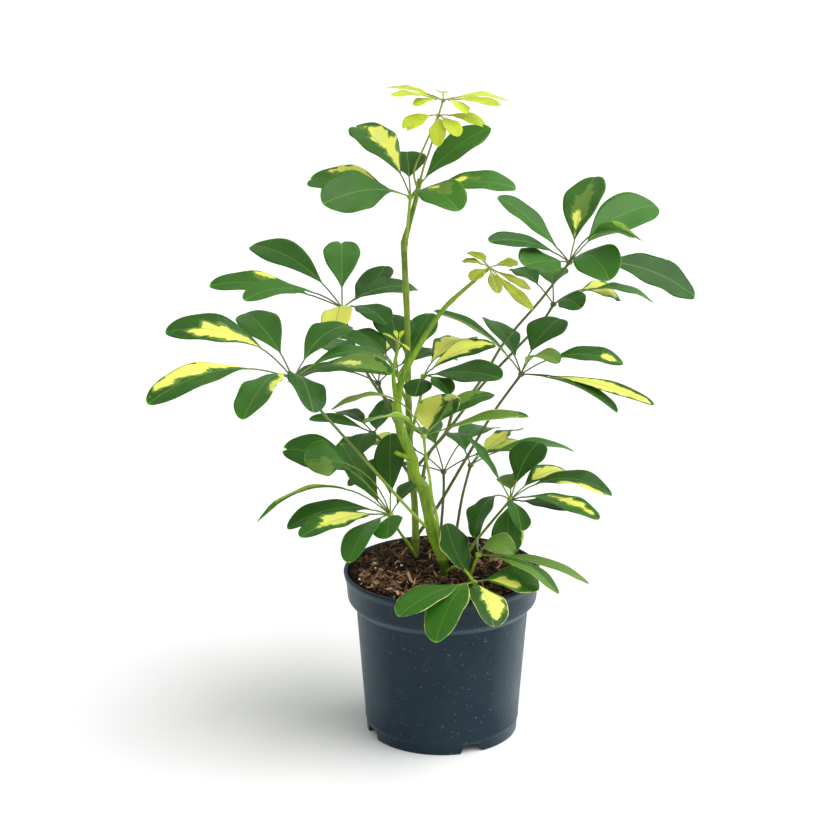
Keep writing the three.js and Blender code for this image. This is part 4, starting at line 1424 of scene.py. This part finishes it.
LEAVES = [
    CompoundLeaf(
        "leaf_crown_upper", Growth.YOUNG,
        [(-19, 24, 480), (-16, 24, 492), (-10, 23, 510), (-3, 22, 538), (0, 22, 548)],
        [Leaflet(140, 4, 62, 15, 0, 3, 20, notch=1.6), Leaflet(225, 10, 60, 15, 10, 3, 20),
         Leaflet(35, -5, 68, 15, -10, 4, 20, notch=1.6), Leaflet(320, 2, 60, 15, -10, 3, 20, notch=1.6),
         Leaflet(90, 0, 40, 14, 0, 3, 30), Leaflet(235, 2, 40, 15, 0, 3, 25),
         Leaflet(295, -5, 42, 16, 15, 4, 25)],
        freshness=0.9),
    CompoundLeaf(
        "leaf_crown_lower", Growth.YOUNG,
        [(-21, 23, 473), (-24, 17, 489), (-15, 10, 513), (-4, 8, 538)],
        [Leaflet(225, -10, 40, 16, 20, 4, 20, notch=1.6), Leaflet(270, -20, 48, 15, -20, 4, 15),
         Leaflet(290, -12, 46, 15, -5, 3, 20), Leaflet(345, -9, 40, 15, -20, 3, 20, notch=1.6)],
        freshness=0.85),
    CompoundLeaf(
        "leaf_top_left", Growth.FRESH,
        [(-32, 17, 419), (-30, 8, 440), (-27, 8, 470)],
        [Leaflet(127, 32, 93, 36, 10, 11, 20, (Patch(0.05, 0.92, -0.05, 0.74),), notch=0.5),
         Leaflet(140, 0, 113, 34, 30, 5, 22, (Patch(0.2, 0.85, 0.35, 1.0),), notch=0.3, blunt=0.1),
         Leaflet(215, 3, 86, 40, 45, 9, 20), Leaflet(94, 34, 54, 31, 0, 3, 36, blunt=0.12),
         Leaflet(25, 36, 90, 32, -20, 6, 20, green=0.9),
         Leaflet(0, 6, 88, 31, -20, 8, 22, (Patch(0.0, 0.6, -0.5, -0.1),), green=1.0, blunt=0.1),
         Leaflet(303, 1, 72, 37, -15, 12, 16, (Patch(0.12, 0.5, -0.35, -0.05),
                 Patch(0.0, 0.75, -0.8, 0.3, MIDDLE)), green=1.0)]),
    CompoundLeaf(
        "leaf_upper_left", Growth.OLD,
        [(-28, 30, 261), (-36, 34, 276), (-52, 40, 290), (-67, 47, 312), (-79, 54, 340),
         (-86, 60, 362)],
        [Leaflet(135, 17, 122, 33, 20, 13, 22),
         Leaflet(180, 11, 116, 30, 22, 8, 25, (Patch(0.33, 0.6, 0.6, 1.1),
                 Patch(0.2, 0.62, 0.2, 0.8, MIDDLE))),
         Leaflet(225, 15, 115, 28, 15, 12, 30), Leaflet(92, 24, 98, 33, 0, 7, 20, notch=0.9),
         Leaflet(65, 12, 88, 32, 5, -3, 26), Leaflet(42, 2, 86, 30, -16, 8, 18),
         Leaflet(265, -6, 60, 28, -12, 9, 16, (WHOLE_YELLOW,)), Leaflet(300, 4, 78, 28, -5, 6, 26)]),
    CompoundLeaf(
        "leaf_left", Growth.OLD,
        [(-11, -22, 189), (-20, -33, 202), (-68, -66, 270), (-120, -104, 346)],
        [Leaflet(180, 21, 108, 35, 24, 18, 28, (Patch(0.02, 0.8, -0.75, 0.3),)),
         Leaflet(213, 1, 130, 34, 15, 17, 30, (Patch(0.05, 0.9, 0.3, 1.0),)),
         Leaflet(250, -3, 98, 35, -12, 17, 22, (Patch(0.0, 0.7, -1.05, -0.55),)),
         Leaflet(118, 21, 99, 34, 10, 8, 26), Leaflet(56, 20, 82, 30, -10, 10, 20),
         Leaflet(42, -2, 105, 24, -10, 14, 16),
         Leaflet(325, 13, 100, 26, -16, 10, 18, (Patch(0.35, 0.75, -0.25, 0.15, CREAM),
                 Patch(0.3, 0.95, -0.9, 0.6, MIDDLE))),
         Leaflet(285, -4, 74, 34, 25, 13, 16)],
        bark=LONG_STALK),
    CompoundLeaf(
        "leaf_right_high", Growth.OLD,
        [(-18, -25, 230), (-12, -10, 252), (3, 8, 266), (10, 22, 282), (24, 36, 291), (39, 48, 310),
         (51, 58, 328), (64, 68, 342), (86, 88, 362), (111, 98, 393)],
        [Leaflet(167, 42, 85, 31, 14, 3, 18), Leaflet(220, 20, 100, 21, 30, 7, 18, blunt=0.1),
         Leaflet(72, 36, 104, 38, 10, 5, 20, (Patch(0.05, 0.5, -0.3, 0.1),
                 Patch(0.1, 0.85, -0.4, 0.5, MIDDLE)), green=0.6),
         Leaflet(43, 18, 118, 40, -34, 10, 20),
         Leaflet(312, 22, 92, 26, 38, 18, 38, (Patch(0.6, 1, 0.3, 1.3, MIDDLE),)),
         Leaflet(12, -17, 122, 36, -42, 11, 22), Leaflet(235, 10, 76, 37, 28, 2, 18, green=0.9),
         Leaflet(293, 2, 77, 40, -22, 13, 15, green=1.0)]),
    CompoundLeaf(
        "leaf_right_behind", Growth.OLD,
        [(-27, 30, 222), (-12, 42, 236), (10, 60, 258), (36, 82, 287), (66, 102, 314), (92, 116, 339),
         (99, 122, 349)],
        [Leaflet(40, -6, 83, 24, -34, 12, 38, (Patch(0.0, 0.93, -1.0, 0.85),)),
         Leaflet(26, -6, 106, 27, -10, 15, 38), Leaflet(300, 8, 44, 26, -26, 6, 20),
         Leaflet(118, 15, 72, 26, 0, 5, 40), Leaflet(88, 12, 76, 30, 0, 5, 38)]),
    CompoundLeaf(
        "leaf_right_middle", Growth.OLD,
        [(-23, 30, 163), (-5, 35, 188), (21, 39, 233), (44, 42, 273), (68, 45, 307)],
        [Leaflet(182, 38, 95, 22, 6, 9, 16, (Patch(0.0, 0.95, -1.2, 0.0, MIDDLE),), green=0.3),
         Leaflet(108, 20, 84, 36, -22, 8, 20), Leaflet(49, 36, 66, 38, -2, 8, 30),
         Leaflet(357, 7, 88, 28, -14, 13, 30, (Patch(0.68, 0.93, -0.4, 0.35),)),
         Leaflet(328, -2, 128, 20, -8, 6, 22, (Patch(0.02, 0.98, -0.6, 0.75),)),
         Leaflet(316, -5, 108, 18, 10, 8, 25, green=0.0, curl=0.4),
         Leaflet(306, 24, 55, 24, -8, 12, 10, (WHOLE_MIDDLE,))]),
    CompoundLeaf(
        "leaf_front_centre", Growth.FRESH,
        [(0, -21, 165), (-3, -30, 185), (-5, -33, 205), (-9, -36, 222), (-11, -39, 241),
         (-14, -45, 260), (-16, -55, 283)],
        [Leaflet(72, 18, 64, 42, 12, -4, 17, (Patch(0.0, 0.95, -1.1, 0.05),
                 Patch(0.8, 1.1, 0.1, 0.9, CREAM))),
         Leaflet(51, 9, 95, 22, -12, 7, 18, (Patch(0.0, 0.95, -1.3, -0.1, MIDDLE),)),
         Leaflet(1, 11, 88, 20, -4, 4, 16, (WHOLE_MIDDLE,), curl=0.35),
         Leaflet(228, 22, 76, 22, -18, 10, 22, (WHOLE_MIDDLE,)),
         Leaflet(195, 20, 83, 18, -5, 24, 38, (WHOLE_MIDDLE,))],
        margin=True),
    CompoundLeaf(
        "leaf_centre_left", Growth.FRESH,
        [(-29, 29, 284), (-35, 36, 296), (-38, 40, 308)],
        [Leaflet(96, 22, 88, 38, -8, 8, 22), Leaflet(70, 24, 88, 34, 10, -3, 26),
         Leaflet(131, 24, 66, 30, 0, 8, 28), Leaflet(185, 33, 67, 28, 8, 9, 24),
         Leaflet(228, 28, 78, 24, -10, 7, 20, (Patch(0.3, 1.0, -0.4, 0.5),
                 Patch(0, 1, -1.2, 1.2, MIDDLE))),
         Leaflet(54, 9, 60, 24, 5, 5, 22)]),
    CompoundLeaf(
        "leaf_centre", Growth.FRESH,
        [(-28, 29, 250), (-24, 20, 272), (-18, 11, 300), (-16, 8, 316)],
        [Leaflet(61, 8, 85, 34, 5, 12, 15, (Patch(0.02, 0.98, -0.9, 0.9),)),
         Leaflet(21, 18, 69, 25, -15, 7, 12, (Patch(0.0, 0.95, -0.9, 0.35),)),
         Leaflet(316, 11, 90, 32, -22, 4, 12, green=0.3), Leaflet(298, -4, 46, 20, 0, 5, 28),
         Leaflet(258, -12, 36, 24, 0, 4, 26, green=0.0)]),
    CompoundLeaf(
        "leaf_low_left", Growth.FRESH,
        [(-21, 22, 112), (-21, 21, 143), (-27, 12, 160), (-38, -12, 186), (-44, -38, 208)],
        [Leaflet(170, 31, 107, 38, 28, 15, 42, notch=0.6),
         Leaflet(197, 37, 92, 34, 42, 18, 66, (Patch(0.3, 1.0, -1.1, 0.0, MIDDLE),), green=0.9),
         Leaflet(190, 1, 114, 20, -30, 28, 30, (Patch(0.2, 0.8, -1.2, -0.3, MIDDLE),), green=0.2),
         Leaflet(196, -2, 89, 32, 10, 12, 16),
         Leaflet(229, 6, 110, 28, 8, 7, 16, (Patch(0.0, 0.8, -0.6, 0.65),)),
         Leaflet(243, -14, 75, 36, -22, 11, 18), Leaflet(268, -2, 50, 28, -24, 4, 18, green=1.0),
         Leaflet(131, 38, 79, 33, -4, -5, 20), Leaflet(90, 54, 72, 31, 30, 5, 22),
         Leaflet(62, 17, 58, 26, 20, 4, 20)]),
    CompoundLeaf(
        "leaf_low_right", Growth.FRESH,
        [(14, 4, 108), (14, 3, 139), (25, 4, 163), (42, 0, 188), (58, -5, 210)],
        [Leaflet(355, 5, 87, 32, -8, 17, 22, (Patch(0.3, 0.95, 0.5, 1.1),), green=0.1),
         Leaflet(310, 6, 108, 24, -6, 10, 16, (Patch(0.3, 0.9, -0.6, 0.0),)),
         Leaflet(46, 7, 76, 27, -8, 8, 22, (Patch(0.2, 0.98, -0.7, 0.8),)),
         Leaflet(313, 9, 76, 26, -8, 1, 16), Leaflet(60, 37, 64, 33, -4, 6, 24),
         Leaflet(88, 10, 48, 26, 15, 3, 28, (WHOLE_MIDDLE,)),
         Leaflet(277, -8, 56, 24, 30, 6, 16),
         Leaflet(262, -56, 50, 28, 12, 8, 10, (Patch(0.0, 1.0, -1.3, -0.8, CREAM),), green=0.8),
         Leaflet(150, 51, 65, 18, -10, 2, 24), Leaflet(232, -20, 56, 34, -24, 20, 26, green=0.2)]),
    CompoundLeaf(
        "leaf_right_inner", Growth.OLD,
        [(9, 39, 108), (9, 40, 139), (13, 42, 166), (18, 46, 196), (25, 50, 223)],
        [Leaflet(31, -3, 112, 22, -6, 13, 20), Leaflet(62, 3, 99, 22, 12, 9, 34),
         Leaflet(45, 23, 52, 22, 5, 1, 30, (Patch(0.0, 1.0, -1.1, 0.9),)),
         Leaflet(106, 13, 60, 26, -10, 5, 28)]),
    CompoundLeaf(
        "leaf_rim_front", Growth.FRESH,
        [(3, -20, 150), (11, -38, 162), (19, -54, 164), (26, -62, 157)],
        [Leaflet(227, -1, 92, 33, 4, 5, 17, green=0.6),
         Leaflet(246, -16, 84, 38, -14, 14, 14, green=1.0),
         Leaflet(282, -10, 71, 35, 20, 8, 14, (Patch(0.08, 0.86, -0.68, 0.1),)),
         Leaflet(6, -7, 56, 32, -22, 5, 14, (Patch(0.05, 0.66, -0.05, 0.7),), green=0.9),
         Leaflet(127, 48, 56, 35, -12, -5, 12, green=0.0)],
        margin=True),
    CompoundLeaf(
        "leaf_rim_right", Growth.FRESH,
        [(20, -33, 118), (22, -35, 140), (25, -42, 160), (30, -50, 177)],
        [Leaflet(343, -21, 75, 21, -2, 8, 14, (Patch(0.0, 1.0, -0.3, 1.4, MIDDLE),)),
         Leaflet(12, -19, 103, 20, -9, 7, 15, (WHOLE_MIDDLE,)),
         Leaflet(92, 12, 58, 14, -70, 3, 10),
         Leaflet(320, 15, 38, 22, -30, 10, 8, (WHOLE_MIDDLE,))],
        margin=True),
    CompoundLeaf(
        "leaf_left_inner", Growth.OLD,
        [(-26, 30, 218), (-43, 50, 236), (-60, 66, 247)],
        [Leaflet(176, 13, 58, 20, 10, 4, 14), Leaflet(125, 6, 58, 22, 0, 5, 20),
         Leaflet(252, -6, 56, 33, -12, 8, 20), Leaflet(228, -14, 44, 24, 0, 5, 20),
         Leaflet(80, 14, 60, 26, 20, -5, 18)]),
    CompoundLeaf(
        "leaf_young_right", Growth.YOUNG,
        [(35.4, -20, 414.4), (36.4, -20, 415.4), (38, -20, 417)],
        [Leaflet(115, 15, 30, 12, -10, 1, 25), Leaflet(165, 10, 24, 11, 10, 2, 25),
         Leaflet(238, -10, 29, 13, 10, 2, 20), Leaflet(355, 8, 24, 14, -18, 2, 20),
         Leaflet(282, -25, 33, 12, 6, 1, 15), Leaflet(310, -25, 58, 12, -12, 0, 18),
         Leaflet(338, -22, 39, 11, -16, 0, 15), Leaflet(140, 23, 25, 11, 5, 2, 25)],
        freshness=0.1),
    CompoundLeaf(
        "leaf_bud", Growth.YOUNG,
        [(-37.2, -30, 352.4), (-37, -30, 354), (-37, -30, 356)],
        [Leaflet(170, 30, 15, 4, 0, 1, 20), Leaflet(110, 44, 12, 4, 0, 1, 25),
         Leaflet(60, 44, 12, 4, 0, 1, 25), Leaflet(320, -20, 13, 4, 0, 1, 20)],
        freshness=1.0),
    CompoundLeaf(
        "leaf_back_low", Growth.OLD,
        [(-2, 50, 110), (-2, 51, 139), (0, 66, 164), (2, 84, 188), (2, 94, 202)],
        [Leaflet(20, 2, 100, 33, -6, 14, 28, (Patch(0.1, 0.9, -0.8, 0.2),)),
         Leaflet(62, 8, 98, 35, 0, 15, 30), Leaflet(104, 6, 100, 36, 4, 16, 30),
         Leaflet(146, 4, 98, 34, 6, 15, 28, (Patch(0.2, 0.95, 0.1, 1.0),)),
         Leaflet(190, -4, 88, 30, 8, 12, 26)]),
    CompoundLeaf(
        "leaf_back_left", Growth.OLD,
        [(-27, 30, 238), (-38, 58, 254), (-50, 84, 272), (-56, 96, 284)],
        [Leaflet(40, 4, 92, 32, -4, 13, 28),
         Leaflet(84, 8, 96, 35, 0, 14, 30, (Patch(0.1, 0.8, -0.3, 0.6),)),
         Leaflet(128, 6, 98, 35, 4, 15, 30), Leaflet(168, -2, 84, 30, 6, 12, 28)]),
]


# ---------------------------------------------------------------- camera and studio


@dataclass
class PhotoCamera:
    """The camera: at plant height, looking slightly down."""

    place: Point = (-19.1, -1949.8, 886.3)
    pitch_down: float = 17.28
    lens: float = 103.5
    sensor: float = 36.0
    far_limit: float = 60000.0

    def build(self) -> None:
        """Sets the camera up and makes it the scene's own."""
        data = bpy.data.cameras.new("photo_camera")
        data.lens = self.lens
        data.sensor_width = self.sensor
        data.clip_end = self.far_limit * METRES
        made = into_scene("photo_camera", data)
        made.location = Vector(self.place) * METRES
        made.rotation_euler = (math.radians(90 - self.pitch_down), 0.0, 0.0)
        bpy.context.scene.camera = made


@dataclass
class Studio:
    """White paper floor under soft light, with the main light on the right."""

    floor_size: float = 24000.0
    air: float = 0.5
    air_colour: str = "#ffffff"
    key_strength: float = 3.6
    key_way: Point = (-0.62, 0.12, -0.75)
    spread: float = 70.0
    fill_strength: float = 0.75
    fill_way: Point = (0.1, 0.94, -0.32)

    def floor(self) -> None:
        """Lays the floor, which isn't part of the plant."""
        half = self.floor_size / 2 * METRES
        data = bpy.data.meshes.new("floor")
        corners = [(-half, -half, 0), (half, -half, 0), (half, half, 0), (-half, half, 0)]
        data.from_pydata(corners, [], [(0, 1, 2, 3)])
        data.materials.append(FLOOR_PAPER.material())
        made = into_scene("floor", data)

    def lamp(self, name: str, strength: float, way: Point) -> None:
        """Hangs a wide soft source far away, so that all the floor is even.

        Args:
            name: the lamp's name.
            strength: its strength.
            way: the direction in which it shines.
        """
        data = bpy.data.lights.new(name, "SUN")
        data.energy = strength
        data.angle = math.radians(self.spread)
        made = into_scene(name, data)
        made.rotation_euler = Vector(way).to_track_quat("-Z", "Y").to_euler()

    def build(self) -> None:
        """Lays the floor and sets the light."""
        self.floor()
        world = bpy.data.worlds.new("studio_air")
        world.use_nodes = True
        sky = world.node_tree.nodes["Background"]
        sky.inputs["Color"].default_value = linear(self.air_colour)
        sky.inputs["Strength"].default_value = self.air
        bpy.context.scene.world = world
        bpy.context.scene.view_settings.view_transform = "Standard"
        self.lamp("key_right", self.key_strength, self.key_way)
        self.lamp("fill_front", self.fill_strength, self.fill_way)


# ---------------------------------------------------------------- putting it together


def soil_keep_clear() -> tuple[tuple[float, float, float], ...]:
    """Lists where stems and stalks enter the soil.

    Returns:
        For each, x, y and the radius that scraps keep clear of.
    """
    holes = [(*stem.branches[0][1][:2], stem.clear) for stem in (MAIN_STEM, TALL_STEM)]
    holes += [(*leaf.route[1][:2], leaf.clear) for leaf in LEAVES
              if leaf.route[0][2] < PottingSoil.edge_height]
    return tuple(holes)


def main() -> None:
    """Builds the camera, the studio and the plant, and notes each piece."""
    logging.basicConfig(level=logging.INFO, format="%(message)s")
    PhotoCamera().build()
    Studio().build()
    pot = NurseryPot()
    pot.dress(pot.build())
    soil = PottingSoil(stems=soil_keep_clear())
    soil.dress(soil.build())
    for stem in (MAIN_STEM, TALL_STEM):
        stem.dress(stem.build())
    for leaf in LEAVES:
        leaf.dress(leaf.build())


if __name__ == "__main__":
    main()
